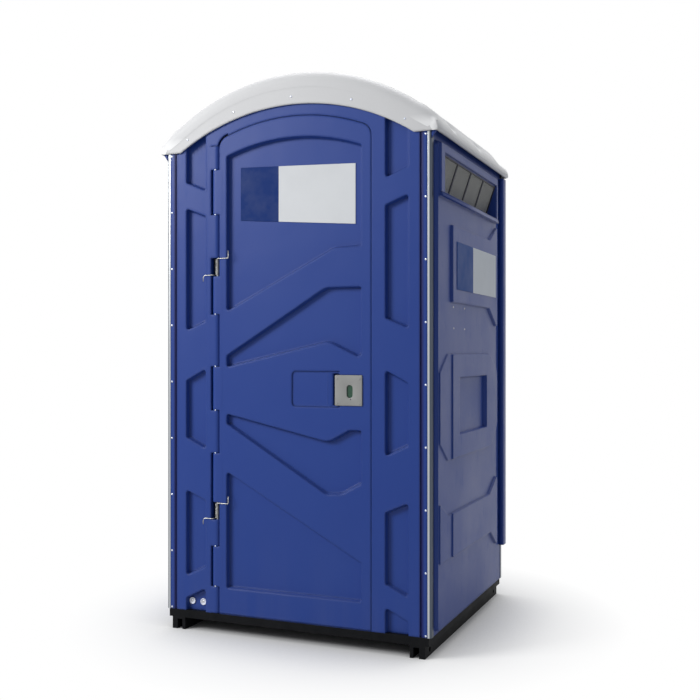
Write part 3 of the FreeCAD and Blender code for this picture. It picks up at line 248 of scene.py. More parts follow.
# smaller plastic parts
plastics = {
    "baseBlack": dict(colour=(0.002, 0.0024, 0.0034, 1), roughness=0.6, grain=0.3, scale=160.0, dusty=0.01,
                      gloss=0.1),
    "latchGrey": dict(colour=(0.3, 0.3, 0.29, 1), roughness=0.34, grain=0.12, scale=700.0, gloss=0.3),
    "grilleDark": dict(colour=(0.006, 0.007, 0.022, 1), roughness=0.5, grain=0.2, scale=300.0, dusty=0.02,
                       gloss=0.15),
    "latchBlack": dict(colour=(0.014, 0.014, 0.015, 1), roughness=0.42, grain=0.2, scale=500.0),
    "seatBlack": dict(colour=(0.016, 0.016, 0.018, 1), roughness=0.22, grain=0.04, scale=300.0, coat=0.4),
    "pipeGrey": dict(colour=(0.34, 0.355, 0.365, 1), roughness=0.38, grain=0.05, scale=300.0),
    "screenGrey": dict(colour=(0.11, 0.115, 0.095, 1), roughness=0.6, grain=0.3, scale=400.0, dusty=0.25),
    "discWhite": dict(colour=(0.7, 0.72, 0.82, 1), roughness=0.4, grain=0.1, scale=500.0),
    # painted shade: the dark of the latch plate's rim and of the key hole
    "rubber": dict(colour=(0.004, 0.006, 0.03, 1), roughness=0.7, grain=0.3, scale=300.0, gloss=0.15),
}


def plainPlastic(name, colour, roughness, grain, scale, dusty=0.0, coat=0.0, gloss=0.5):
    paint = Paint(name, IOR=1.5, Specular_IOR_Level=gloss)
    if coat:
        paint.set("Coat Weight", coat)
        paint.set("Coat Roughness", 0.15)
    light = tuple(min(1.0, c * 1.25 + 0.012) for c in colour[:3]) + (1,)
    mottle = paint.noise(11.0, 4.0)
    rub = paint.edges(0.002, 0.06, 0.4) * paint.noise(60.0).span(0.4, 0.7) * 0.4
    base = paint.blend(mottle.span(0.35, 0.7) * 0.35, colour, light)
    base = paint.blend(rub, base, light)
    rough = mottle.span(0.3, 0.7, roughness - 0.05, roughness + 0.08)
    if dusty:
        dirt = paint.noise(20.0, 5.0, 0.65).span(0.42, 0.75) * dusty
        base = paint.blend(dirt, base, cabin["dust"])
        rough = rough + dirt * 0.2
    paint.set("Base Color", base)
    paint.set("Roughness", rough)
    paint.relief((paint.noise(scale, 2.0), grain, 0.0005), radius=0.0015)
    return paint


metals = {
    "rivetMetal": dict(colour=(0.6, 0.64, 0.74, 1), roughness=0.32),
    "springSteel": dict(colour=(0.4, 0.4, 0.38, 1), roughness=0.36, rust=0.2),
    "pinSteel": dict(colour=(0.55, 0.55, 0.55, 1), roughness=0.34, stretch=(1, 1, 0.05), rust=0.1),
}
rustBrown = (0.2, 0.11, 0.06, 1)


def metal(name, colour, roughness, stretch=(1, 1, 1), rust=0.0):
    paint = Paint(name, Metallic=1.0)
    lines = paint.noise(160.0, 3.0, 0.6, stretch)
    patches = paint.noise(14.0, 3.0)
    dull = tuple(c * 0.72 for c in colour[:3]) + (1,)
    base = paint.blend(patches.span(0.4, 0.75) * 0.5, colour, dull)
    if rust:
        base = paint.blend(patches.span(0.55, 0.8) * rust, base, rustBrown)
    paint.set("Base Color", base)
    paint.set("Roughness", lines.span(0.25, 0.75, roughness - 0.08, roughness + 0.12))
    paint.relief((lines, 0.3, 0.0004), radius=0.0012)
    return paint


# the indicator slides sideways in the latch, so one half shows when bolted and one when free
indicator = {
    "parting": 0.2405, "bolted": (0.32, 0.015, 0.012, 1), "free": (0.004, 0.05, 0.024, 1),
    "faded": (0.012, 0.11, 0.055, 1),
}


def indicatorPaint():
    f = indicator
    paint = Paint("indicatorTwoTone", IOR=1.5)
    fade = paint.noise(90.0, 3.0).span(0.4, 0.7) * 0.25
    colour = paint.blend(paint.axis(0) > f["parting"], f["bolted"], f["free"])
    paint.set("Base Color", paint.blend(fade, colour, f["faded"]))
    paint.set("Roughness", paint.noise(60.0).span(0.3, 0.7, 0.25, 0.4))
    paint.relief((paint.noise(300.0), 0.05, 0.0004), radius=0.001)
    return paint


# soft wound sheets, seen edge-on at the ends of the roll
paper = {"white": (0.78, 0.77, 0.74, 1), "fibre": (0.7, 0.685, 0.65, 1), "sheen": 0.3}


def paperPaint():
    f = paper
    paint = Paint("paperWhite", Sheen_Weight=f["sheen"])
    fibres = paint.noise(420.0, 4.0, 0.65)
    paint.set("Base Color", paint.blend(fibres.span(0.3, 0.7) * 0.4, f["white"], f["fibre"]))
    paint.set("Roughness", fibres.span(0.3, 0.7, 0.85, 0.97))
    paint.relief((paint.cells(160.0), 0.5, 0.001), (fibres, 0.4, 0.0006))
    return paint


# bare aluminium, bright on the nose; where the leg lies in the groove it is painted dark, a painted
# reflection and painted shade
trim = {
    "bright": (0.46, 0.48, 0.5, 1), "dull": (0.36, 0.38, 0.41, 1), "paintedDarkLeg": (0.075, 0.09, 0.115, 1),
    "noseY": (0.5525, 0.5555), "noseX": (0.5842, 0.5822), "roughness": (0.24, 0.42),
}


def trimPaint():
    f = trim
    paint = Paint("aluminium", Metallic=1.0)
    lines = paint.noise(160.0, 3.0, 0.6, (1, 1, 0.02))
    patches = paint.noise(9.0, 4.0, 0.6, (1, 1, 0.3))
    bareMetal = paint.blend(patches.span(0.4, 0.75) * 0.4, f["bright"], f["dull"])
    # painted reflection and shade: away from the nose the leg is painted dark
    nose = abs(paint.axis(1)).span(*f["noseY"]) * abs(paint.axis(0)).span(*f["noseX"])
    paint.set("Base Color", paint.blend(nose, f["paintedDarkLeg"], bareMetal))
    paint.set("Roughness", lines.span(0.25, 0.75, *f["roughness"]))
    paint.relief((lines, 0.2, 0.0004), radius=0.0012)
    return paint


paints = {"indicator": indicatorPaint(), "paper": paperPaint(), "aluminium": trimPaint()}
for make, table in ((mouldedShell, shells), (plainPlastic, plastics), (metal, metals)):
    for name, facts in table.items():
        paints[name] = make(name, **facts)
print("plastics, metals and paper ready")

finishes = {
    "shellBlue": ("door_skin", "side_panel_right", "side_panel_left", "rear_post_right", "rear_post_left",
                  "eave_gussets"),
    "frameBlue": ("front_frame", "back_panel"),
    "roofGrey": ("roof",),
    "linerGrey": ("frame_liner", "door_liner", "urinal"),
    "tankGrey": ("holding_tank",),
    "baseBlack": ("base_tray", "skid_runner_right", "skid_runner_left"),
    "latchGrey": ("latch_plate",),
    "latchBlack": ("latch_case", "latch_bolt", "thumb_turn", "latch_keeper", "inner_pull_handle",
                   "paper_holder", "coat_hook"),
    "indicator": ("occupancy_indicator",),
    "grilleDark": ("vent_grille_right", "vent_grille_left"),
    "screenGrey": ("vent_screen_right", "vent_screen_left"),
    "seatBlack": ("toilet_seat", "seat_lid"),
    "pipeGrey": ("urinal_drain_pipe", "vent_pipe", "vent_pipe_clip"),
    "discWhite": ("marker_discs",),
    "paper": ("paper_roll_front", "paper_roll_rear"),
    "springSteel": ("closer_springs",),
    "pinSteel": ("hinge_pin", "seat_hinge_pin", "paper_rod"),
    "aluminium": ("corner_trim_front_right", "corner_trim_front_left", "corner_trim_rear_right",
                  "corner_trim_rear_left"),
}
for finish, nodes in finishes.items():
    for node in nodes:
        for slot in bpy.data.objects[node].material_slots:
            slot.material = paints[finish].material
print("finishes laid on the frame's pieces")


# mesh helpers

def finished(name, bm, paint, body=None, smooth=True):
    mesh = bpy.data.meshes.new(name)
    bm.to_mesh(mesh)
    bm.free()
    for face in mesh.polygons:
        face.use_smooth = smooth
    mesh.materials.append(paint.material)
    piece = bpy.data.objects.new(name, mesh)
    bpy.context.scene.collection.objects.link(piece)
    if body:
        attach(piece, body)
    return piece


def vertsOf(parts):
    return [part for part in parts if isinstance(part, bmesh.types.BMVert)]


def joinedTo(verts, kind):
    # the edges or faces at some verts, each once and always in the same order
    return list(dict.fromkeys(part for vert in verts for part in getattr(vert, "link_" + kind)))


def ringOf(parts):
    # the verts of a newly drawn outline and the edges between them
    verts = vertsOf(parts)
    return verts, [part for part in parts if isinstance(part, bmesh.types.BMEdge)
                   and all(vert in verts for vert in part.verts)]


def drawPath(bm, last, points):
    # edges from point to point, on from the last vertex drawn
    for point in points:
        last = bmesh.ops.extrude_vert_indiv(bm, verts=[last])["verts"][0]
        last.co = point


def thicken(bm, step):
    # a flat face drawn along to a closed plate
    drawn = bmesh.ops.extrude_face_region(bm, geom=bm.faces[:])["geom"]
    bmesh.ops.translate(bm, verts=vertsOf(drawn), vec=step)
    bmesh.ops.recalc_face_normals(bm, faces=bm.faces[:])


def roundOff(bm, geom, width, steps, affect="EDGES"):
    bmesh.ops.bevel(bm, geom=geom, offset=width, segments=steps, affect=affect, profile=0.5, material=-1)


def turnFaces(bm, way):
    # all faces the same way round, looking along way as a whole
    bmesh.ops.recalc_face_normals(bm, faces=bm.faces[:])
    if sum(face.normal.dot(Vector(way)) for face in bm.faces) < 0:
        bmesh.ops.reverse_faces(bm, faces=bm.faces[:])


# blank two-tone plates on the door and the right side
plates = {
    "thick": 0.002, "edge": 0.0006, "edgeSteps": 2, "sharp": 1.0, "cuts": 3,
    "smudge": (0.42, 0.43, 0.45, 1),
    "door": {
        "corners": ((-0.245, 1.722), (0.271, 1.683), (0.271, 1.923), (-0.245, 1.942)),    # X, Z
        "level": cabin["frontY"] + 0.0195, "parting": 0.342,      # the parting as a share of the width
        "white": (0.72, 0.735, 0.75, 1), "navy": (0.009, 0.032, 0.16, 1),
    },
    "side": {
        "corners": ((-0.289, 1.4295), (0.342, 1.4295), (0.342, 1.6235), (-0.289, 1.6235)),    # Y, Z
        "level": cabin["raisedX"] + 0.0002, "parting": 0.379,
        "white": (0.74, 0.78, 0.83, 1), "navy": (0.018, 0.07, 0.28, 1),
    },
}


def platePaint(name, facts, along):
    paint = Paint(name, IOR=1.5, Specular_IOR_Level=0.06)
    low, high = facts["corners"][0][0], facts["corners"][1][0]
    right = paint.axis(along) > low + (high - low) * facts["parting"]
    colour = paint.blend(right, facts["navy"], facts["white"])
    smudge = paint.noise(7.0, 5.0).span(0.45, 0.8) * 0.12
    paint.set("Base Color", paint.blend(smudge, colour, plates["smudge"]))
    paint.set("Roughness", paint.noise(12.0, 3.0).span(0.3, 0.7, 0.42, 0.55))
    paint.relief((paint.noise(5.0, 2.0), 0.25, 0.002), radius=0.001)
    return paint


def makePlate(name, points, outward, paint, body):
    bm = bmesh.new()
    bm.faces.new([bm.verts.new(point) for point in points])
    bmesh.ops.subdivide_edges(bm, edges=bm.edges[:], cuts=plates["cuts"], use_grid_fill=True)
    thicken(bm, outward * plates["thick"])
    rim = [edge for edge in bm.edges
           if len(edge.link_faces) == 2 and edge.calc_face_angle(0) > plates["sharp"]]
    roundOff(bm, rim, plates["edge"], plates["edgeSteps"])
    finished(name, bm, paint, body, False)


door, side = plates["door"], plates["side"]
makePlate("door_sign_plate", [(x, door["level"], z) for x, z in door["corners"]], toFront,
          platePaint("doorPlate", door, 0), "door")
makePlate("side_sign_plate", [(side["level"], y, z) for y, z in side["corners"]], toRight,
          platePaint("sidePlate", side, 1), "cabin")
print("blank plates fixed")

# domed rivets in the flanges and the roof, screws in the latch plate and the right wall
fixings = {
    "rivet": (0.0046, 0.0024), "screw": (0.0038, 0.0013),      # radius, rise
    "flangeX": 0.568, "firstZ": 0.09, "pitch": 0.24, "count": 9,
    "roofX": (-0.486, -0.264, 0.0, 0.264, 0.486), "roofY": 0.563,
    "archZ": 1.257, "archRadius": 0.95,                        # the row over the fascia's arch
    "latchHoles": ((0.202, 0.972), (0.297, 0.972), (0.202, 1.070), (0.297, 1.070)), "latchProud": 0.005,
    "wallHoles": ((-0.305, 1.358), (-0.141, 1.358), (-0.299, 1.272), (-0.141, 1.272)),
    # a head's shape, as shares of its radius and rise
    "sides": 12, "stub": 0.3, "taper": 0.95,
    "dome": ((0.12, 0.28), (0.2, 0.26), (0.26, 0.13), (0.16, 0.03)), "socketRim": 0.03, "socketDepth": 0.5,
}


def addHead(bm, place, outward, size, socket=False):
    # a low stub whose end face is drawn in ring by ring to a dome
    f = fixings
    radius, rise = size
    turn = Vector((0, 0, 1)).rotation_difference(outward).to_matrix().to_4x4()
    seat = Matrix.Translation(Vector(place) + outward * rise * (f["stub"] / 2)) @ turn
    made = bmesh.ops.create_cone(bm, cap_ends=True, segments=f["sides"], radius1=radius,
                                 radius2=radius * f["taper"], depth=rise * f["stub"], matrix=seat)
    top = max(joinedTo(made["verts"], "faces"), key=lambda face: face.calc_center_median().dot(outward))
    for inward, up in f["dome"]:
        bmesh.ops.inset_individual(bm, faces=[top], thickness=radius * inward, depth=rise * up)
    if socket:
        bmesh.ops.inset_individual(bm, faces=[top], thickness=radius * f["socketRim"],
                                   depth=-rise * f["socketDepth"])


def makeHeads(name, spots, size, paint, body, socket=False):
    bm = bmesh.new()
    for place, outward in spots:
        addHead(bm, place, outward, size, socket)
    finished(name, bm, paint, body)


def makeFixings():
    f = fixings
    heights = [f["firstZ"] + i * f["pitch"] for i in range(f["count"])]
    makeHeads("frame_rivets", [((x, y, z), way) for z in heights for x in (-f["flangeX"], f["flangeX"])
                               for y, way in ((cabin["frontY"], toFront), (cabin["backY"], toBack))],
              f["rivet"], paints["rivetMetal"], "cabin")
    row = [(x, f["archZ"] + math.sqrt(f["archRadius"] ** 2 - x ** 2)) for x in f["roofX"]]
    makeHeads("roof_rivets", [((x, way.y * f["roofY"], z), way) for x, z in row for way in (toFront, toBack)],
              f["rivet"], paints["rivetMetal"], "cabin")
    plateFront = cabin["frontY"] - f["latchProud"]
    makeHeads("latch_screws", [((x, plateFront, z), toFront) for x, z in f["latchHoles"]],
              f["screw"], paints["latchGrey"], "door", True)
    makeHeads("wall_screws", [((cabin["sideX"], y, z), toRight) for y, z in f["wallHoles"]],
              f["screw"], paints["pinSteel"], "cabin", True)


makeFixings()
print("rivets and screws set")

# closer springs: close coils round the hinge pin, one arm hooked on the frame and one on the door
springs = {
    "wire": 0.0019, "sides": 8, "coil": 0.009, "turns": 12.5, "coilSteps": 22,
    "axis": (-0.356, -0.536), "armY": -0.5575,
    "bend": 0.005, "bendSteps": 6, "frameBend": 0.012, "frameBendSteps": 8,
    "frameReach": 0.043, "doorReach": 0.049, "hook": 0.026,
    "still": 0.004,           # this much of the coil at each end, by the frame and by the door
    "coils": {"closer_spring_lower": (0.4785, 0.5445), "closer_spring_upper": (1.4985, 1.5665)},
}


class BentWire:
    # a round wire drawn out ring by ring from its first end
    def __init__(self, bm, start, heading, radius, sides):
        self.bm = bm
        self.place = Vector(start)
        self.heading = Vector(heading)
        turn = Vector((0, 0, 1)).rotation_difference(self.heading).to_matrix().to_4x4()
        made = bmesh.ops.create_circle(bm, segments=sides, radius=radius,
                                       matrix=Matrix.Translation(self.place) @ turn)
        self.first = joinedTo(made["verts"], "edges")
        self.ring = self.first

    def run(self, length):
        drawn = bmesh.ops.extrude_edge_only(self.bm, edges=self.ring)["geom"]
        verts, self.ring = ringOf(drawn)
        bmesh.ops.translate(self.bm, verts=verts, vec=self.heading * length)
        self.place = self.place + self.heading * length

    def bend(self, axis, angle, radius, steps, climb=0.0):
        axis = Vector(axis)
        centre = self.place + axis.cross(self.heading).normalized() * radius
        drawn = bmesh.ops.spin(self.bm, geom=self.ring, cent=centre, axis=axis, angle=angle, steps=steps,
                               dvec=Vector((0, 0, climb / steps)))
        self.ring = ringOf(drawn["geom_last"])[1]
        turn = Matrix.Rotation(angle, 3, axis)
        self.place = centre + turn @ (self.place - centre) + Vector((0, 0, climb))
        self.heading = turn @ self.heading

    def close(self):
        for ring in (self.first, self.ring):
            bmesh.ops.contextual_create(self.bm, geom=ring)
        bmesh.ops.recalc_face_normals(self.bm, faces=self.bm.faces[:])


def makeSpring(name, low, high):
    f = springs
    x, y = f["axis"]
    armX = x - f["coil"] - f["frameReach"] - f["bend"]
    inFront = y - f["armY"] - f["bend"]
    bm = bmesh.new()
    wire = BentWire(bm, (armX, f["armY"], low - f["hook"]), (0, 0, 1), f["wire"], f["sides"])
    wire.run(f["hook"] - f["frameBend"])
    wire.bend((0, 1, 0), quarter, f["frameBend"], f["frameBendSteps"])
    wire.run(f["frameReach"] - f["frameBend"])
    wire.bend((0, 0, 1), quarter, f["bend"], f["bendSteps"])
    wire.run(inFront)
    wire.bend((0, 0, -1), 2 * math.pi * f["turns"], f["coil"], int(f["turns"] * f["coilSteps"]), high - low)
    wire.run(inFront)
    wire.bend((0, 0, 1), quarter, f["bend"], f["bendSteps"])
    wire.run(f["doorReach"] - f["bend"])
    wire.bend((0, -1, 0), quarter, f["bend"], f["bendSteps"])
    wire.run(f["hook"])
    wire.close()
    piece = finished(name, bm, paints["springSteel"])
    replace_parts(piece, "closer_springs")
    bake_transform(piece)


for name, (low, high) in springs["coils"].items():
    makeSpring(name, low, high)
print("closer springs wound")

# latch: rounded plate with its window on a dark rim, painted shade along its top and left, and the hand scoop
# that slopes in beside it
latch = {
    "front": -0.56, "back": -0.555, "cornerSteps": 7,
    "low": (0.191, 0.9635), "high": (0.3075, 1.0845), "corner": 0.004, "edge": 0.0021, "edgeSteps": 3,
    "window": (0.2545, 1.02), "windowWidth": 0.025, "windowHeight": 0.051,
    # the dark rim round the plate's top and left: painted shade for the gap the plate sits in
    "shadowRimLow": (0.1885, 0.9625), "shadowRimHigh": (0.3079, 1.0862), "shadowRimCorner": 0.005,
    "shadowRimFront": -0.5556, "shadowRimBack": -0.5546, "shadowRimWidth": 0.009,
    "release": (0.2585, 0.989), "releaseSize": (0.0022, 0.0006),
    "scoop": ((0.1602, -0.5523), (0.1775, -0.5522), (0.1800, -0.5515), (0.1815, -0.5495), (0.1818, -0.5405)),
    "scoopLow": 0.9605, "scoopHigh": 1.0945,
    "sharp": 1.2, "near": 1e-5,
}


def roundedFace(bm, low, high, corner, front):
    # an upright rectangle with rounded corners
    made = bmesh.ops.create_grid(bm, x_segments=1, y_segments=1, size=0.5)
    place = Matrix.Translation(((low[0] + high[0]) / 2, front, (low[1] + high[1]) / 2))
    size = Matrix.Diagonal((high[0] - low[0], high[1] - low[1], 1, 1))
    bmesh.ops.transform(bm, verts=made["verts"], matrix=place @ upright @ size)
    roundOff(bm, made["verts"], corner, latch["cornerSteps"], "VERTICES")
    return max(bm.faces, key=lambda face: face.calc_area())


def makeLatchPlate():
    f = latch
    bm = bmesh.new()
    face = roundedFace(bm, f["low"], f["high"], f["corner"], f["front"])
    outer = face.edges[:]
    bmesh.ops.delete(bm, geom=[face], context="FACES_ONLY")
    # the window's edge, a circle pulled apart to an upright slot, with as many points as the rim
    x, z = f["window"]
    points = 4 * (f["cornerSteps"] + 1)
    place = Matrix.Translation((x, f["front"], z)) @ upright @ Matrix.Rotation(math.pi / points, 4, "Z")
    ring = bmesh.ops.create_circle(bm, segments=points, radius=f["windowWidth"] / 2, matrix=place)["verts"]
    stretch = (f["windowHeight"] - f["windowWidth"]) / 2
    for vert in ring:
        vert.co.z += stretch if vert.co.z > z else -stretch
    bmesh.ops.bridge_loops(bm, edges=outer + joinedTo(ring, "edges"))
    thicken(bm, toBack * (f["back"] - f["front"]))
    rim = [edge for edge in bm.edges if edge.calc_face_angle(0) > f["sharp"]
           and all(abs(vert.co.y - f["front"]) < f["near"] for vert in edge.verts)]
    roundOff(bm, rim, f["edge"], f["edgeSteps"])
    piece = finished("latch_face_plate", bm, paints["latchGrey"], "door")
    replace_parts(piece, "latch_plate")


def makeShadowRim():
    f = latch
    # painted shade: a thin dark frame showing just past the plate's edges
    bm = bmesh.new()
    face = roundedFace(bm, f["shadowRimLow"], f["shadowRimHigh"], f["shadowRimCorner"], f["shadowRimFront"])
    bmesh.ops.inset_individual(bm, faces=[face], thickness=f["shadowRimWidth"], depth=0.0)
    bmesh.ops.delete(bm, geom=[face], context="FACES_ONLY")
    thicken(bm, toBack * (f["shadowRimBack"] - f["shadowRimFront"]))
    finished("latch_shadow_rim", bm, paints["rubber"], "door", False)


def makeRelease():
    # the small hole below the window that takes a key from outside, drawn as a dark dot: painted shade for
    # the inside of the hole
    f = latch
    x, z = f["release"]
    makeHeads("release_socket", [((x, f["front"], z), toFront)], f["releaseSize"], paints["rubber"], "door")


def makeScoop():
    f = latch
    bm = bmesh.new()
    first, *others = [(x, y, f["scoopLow"]) for x, y in f["scoop"]]
    drawPath(bm, bm.verts.new(first), others)
    upper = bmesh.ops.extrude_edge_only(bm, edges=bm.edges[:])["geom"]
    bmesh.ops.translate(bm, verts=vertsOf(upper), vec=(0, 0, f["scoopHigh"] - f["scoopLow"]))
    turnFaces(bm, toFront)
    finished("hand_scoop", bm, paints["shellBlue"], "door")


makeLatchPlate()
makeShadowRim()
makeRelease()
makeScoop()
print("latch plate, shadow rim and hand scoop made")

# small steel stops on the hinge line, and turned buttons with a screw low on the left column
smallParts = {
    "hingeX": -0.356, "stopLift": 0.0002, "stop": (0.0034, 0.002),      # radius, rise
    "stopHeights": (0.196, 0.364, 0.754, 0.933, 1.116, 1.334, 1.751, 1.939),
    "buttonX": (-0.477, -0.424), "buttonZ": 0.121, "buttonBack": -0.5353,
    "buttonRadius": 0.0145, "buttonThick": 0.0034, "buttonSides": 32,
    # the turned face, ring by ring from the rim: step in, step out
    "turned": ((0.0006, 0.0005), (0.0018, 0.0), (0.0006, -0.0006), (0.0040, 0.0), (0.0004, -0.0004)),
    "screw": (0.005, 0.0014), "screwSunk": 0.0004,
}


def makeStops():
    f = smallParts
    y = cabin["frontY"] + f["stopLift"]
    makeHeads("hinge_stops", [((f["hingeX"], y, z), toFront) for z in f["stopHeights"]], f["stop"],
              paints["rivetMetal"], "cabin")


def makeButtons():
    f = smallParts
    bm = bmesh.new()
    for x in f["buttonX"]:
        place = Matrix.Translation((x, f["buttonBack"] - f["buttonThick"] / 2, f["buttonZ"])) @ upright
        made = bmesh.ops.create_cone(bm, cap_ends=True, segments=f["buttonSides"], radius1=f["buttonRadius"],
                                     radius2=f["buttonRadius"], depth=f["buttonThick"], matrix=place)
        front = min(joinedTo(made["verts"], "faces"), key=lambda face: face.calc_center_median().y)
        for inward, out in f["turned"]:
            bmesh.ops.inset_individual(bm, faces=[front], thickness=inward, depth=out)
    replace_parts(finished("marker_buttons", bm, paints["discWhite"], "cabin"), "marker_discs")
    y = f["buttonBack"] - f["buttonThick"] + f["screwSunk"]
    makeHeads("marker_screws", [((x, y, f["buttonZ"]), toFront) for x in f["buttonX"]], f["screw"],
              paints["pinSteel"], "cabin", True)


makeStops()
makeButtons()
print("hinge stops and marker buttons set")

# roof skin: the moulded outside, its humps running softly down to the brim
roofSkin = {
    "centreZ": 1.39, "radius": 0.921, "arc": 35.0, "arcSteps": 12,
    # from the arc's foot down over the brim: X, Z, share of a valley's depth and of the end rounding
    "haunch": ((0.5500, 2.1325, 1.0, 1.0), (0.5680, 2.1190, 1.0, 1.0), (0.5850, 2.1035, 1.0, 0.9),
               (0.6000, 2.0870, 0.85, 0.75), (0.6115, 2.0715, 0.6, 0.55), (0.6205, 2.0590, 0.12, 0.4),
               (0.6255, 2.0440, 0.0, 0.33), (0.6280, 2.0300, 0.0, 0.3), (0.6275, 2.0225, 0.0, 0.3),
               (0.6165, 2.0200, 0.0, 0.3)),
    "straightIn": 0.2,        # up to this share of a valley a point moves in sideways only
    "front": 0.5634, "rounding": 0.042, "endSteps": 6, "faceDepth": 0.03,
    # where a hump ends (1) or starts (-1) along the roof, and how it falls off there: step, depth
    "humpEnds": ((-0.38, 1), (-0.318, -1), (0.007, 1), (0.069, -1), (0.37, 1)),
    "fall": ((-0.022, 0.0), (-0.014, 0.0012), (-0.007, 0.0045), (0.0, 0.01), (0.006, 0.0165),
             (0.012, 0.0215), (0.02, 0.0245)),
    "valley": 0.0255, "near": 1e-5, "digits": 4,
}


def roofSections():
    # from the front face to the back: Y, valley depth, end depth
    f = roofSkin
    reach, steps = f["rounding"], f["endSteps"]
    turns = [quarter * step / steps for step in range(steps)]
    ends = [(-f["front"], reach + f["faceDepth"])]
    ends += [(-f["front"] + reach * (1 - math.cos(turn)), reach * (1 - math.sin(turn))) for turn in turns]
    sections = [(y, 0.0, sunk) for y, sunk in ends] + [(reach - f["front"], 0.0, 0.0)]
    for middle, way in f["humpEnds"]:
        sections += [(middle + way * step, depth, 0.0) for step, depth in f["fall"][::way]]
    sections.append((f["front"] - reach, f["valley"], 0.0))
    return sections + [(-y, f["valley"], sunk) for y, sunk in reversed(ends)]


def roofOutline(bm):
    # one cross section: a shallow arc, a haunch on each side and the brim
    f = roofSkin
    apex = bm.verts.new((0, 0, f["centreZ"] + f["radius"]))
    arc = bmesh.ops.spin(bm, geom=[apex], cent=(0, 0, f["centreZ"]), axis=(0, 1, 0),
                         angle=math.radians(f["arc"]), steps=f["arcSteps"])["geom_last"]
    drawPath(bm, vertsOf(arc)[0], [(x, 0, z) for x, z, *shares in f["haunch"]])
    bmesh.ops.mirror(bm, geom=bm.verts[:] + bm.edges[:], axis="X", merge_dist=f["near"])


def haunchKey(x, z):
    # one and the same for a haunch point on either side
    return round(abs(x), roofSkin["digits"]), round(z, roofSkin["digits"])


def nearestOf(outline, placed, spot):
    # the outline point whose last placed copy lies on the spot
    return min(zip(placed, outline), key=lambda pair: (pair[0] - spot).length)[1]


def roofPoint(point, shares, valley, end):
    # a point of the outline, sunk by the valley between two humps and by the rounded end
    f = roofSkin
    centre = Vector((0, 0, f["centreZ"]))
    valleyShare, endShare = shares.get(haunchKey(point.x, point.z), (1.0, 1.0))
    if valleyShare > f["straightIn"]:
        inward = (centre - point).normalized()
    else:
        inward = Vector((-math.copysign(1, point.x), 0, 0))
    sunk = point + inward * (valley * valleyShare + min(end, f["rounding"]) * endShare)
    if end > f["rounding"]:
        # the flat end face runs on inwards, down to the brim's foot
        sunk = centre + (sunk - centre) * (1 - f["faceDepth"])
        sunk.z = max(sunk.z, f["haunch"][-1][1])
    return sunk


def makeRoofSkin():
    bm = bmesh.new()
    roofOutline(bm)
    drawn = bm.verts[:] + bm.edges[:]
    outline = [vert.co.copy() for vert in bm.verts]
    shares = {haunchKey(x, z): both for x, z, *both in roofSkin["haunch"]}
    edges, placed = None, None
    for y, valley, end in roofSections():
        if edges:
            drawn = bmesh.ops.extrude_edge_only(bm, edges=edges)["geom"]
        verts, edges = ringOf(drawn)
        if placed:
            outline = [nearestOf(outline, placed, vert.co) for vert in verts]
        for vert, point in zip(verts, outline):
            vert.co = roofPoint(point, shares, valley, end)
            vert.co.y = y
        placed = [vert.co.copy() for vert in verts]
    turnFaces(bm, (0, 0, 1))
    finished("roof_skin", bm, paints["skinGrey"], "cabin")


makeRoofSkin()
print("roof skin drawn over the vault")

# vents: a fine insect screen behind the dark bars, and a rain sill under each opening
vents = {
    "low": (0.553, 1.8), "high": (0.605, 1.955),      # the slope's foot and head: X, Z
    "front": -0.4378, "back": 0.3578, "margin": 0.0118,
    "netThick": 0.0009, "netBehind": 0.0002, "netCells": (8, 2),
    "strands": 210.0, "strandColour": (0.4, 0.4, 0.38, 1), "strandDusty": (0.5, 0.49, 0.45, 1),
    # between: the gaps between strands, painted dark for the shaded inside seen through them
    "between": (0.08, 0.08, 0.085, 1),
    "sillFoot": (0.6128, 1.7785), "sillFront": -0.499, "sillBack": 0.388, "sillHeight": 0.0205,
    "sillProud": 0.0075, "sillTopProud": 0.0012, "sillUndercut": 0.003,
    "sillEdge": 0.0032, "sillEdgeSteps": 4,
}


def screenPaint():
    # woven glass fibre, grey-green, each strand standing a little proud
    f = vents
    paint = Paint("insectScreen", IOR=1.5, Specular_IOR_Level=0.2)
    upDown, along = [paint.node("ShaderNodeTexWave",
                                {"wave_type": "BANDS", "bands_direction": way, "wave_profile": "SIN"},
                                {"Vector": paint.place, "Scale": f["strands"], "Distortion": 0.0}, "Fac")
                     for way in ("Y", "Z")]
    net = (upDown | along).span(0.35, 0.8)
    dusty = paint.noise(6.0, 4.0).span(0.35, 0.75) * 0.3
    strand = paint.blend(dusty, f["strandColour"], f["strandDusty"])
    # painted shade: the gaps between strands are painted dark
    paint.set("Base Color", paint.blend(net, f["between"], strand))
    paint.set("Roughness", net.span(0.0, 1.0, 0.9, 0.62))
    paint.relief((net, 0.6, 0.0006))
    return paint


def toSide(bm, side):
    # what is made on the right (1) goes over to the left (-1)
    if side < 0:
        bmesh.ops.scale(bm, verts=bm.verts[:], vec=(-1, 1, 1))


def makeScreen(name, side, paint):
    f = vents
    low = Vector((f["low"][0], 0, f["low"][1]))
    high = Vector((f["high"][0], 0, f["high"][1]))
    slope = (high - low).normalized()
    outward = Vector((slope.z, 0, -slope.x))
    middle = (low + high) / 2 + toBack * ((f["front"] + f["back"]) / 2) - outward * f["netBehind"]
    turn = Matrix((toBack, slope, toBack.cross(slope))).transposed().to_4x4()
    reach = (high - low).length - 2 * f["margin"]
    bm = bmesh.new()
    across, up = f["netCells"]
    bmesh.ops.create_grid(bm, x_segments=across, y_segments=up, size=0.5)
    bmesh.ops.scale(bm, verts=bm.verts[:], vec=(f["back"] - f["front"], reach, 1.0))
    bmesh.ops.transform(bm, verts=bm.verts[:], matrix=Matrix.Translation(middle) @ turn)
    toSide(bm, side)
    turnFaces(bm, (-side, 0, 0))
    bmesh.ops.solidify(bm, geom=bm.faces[:], thickness=f["netThick"])
    bmesh.ops.recalc_face_normals(bm, faces=bm.faces[:])
    piece = finished(name, bm, paint, "cabin", False)
    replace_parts(piece, "vent_screen_right" if side > 0 else "vent_screen_left")


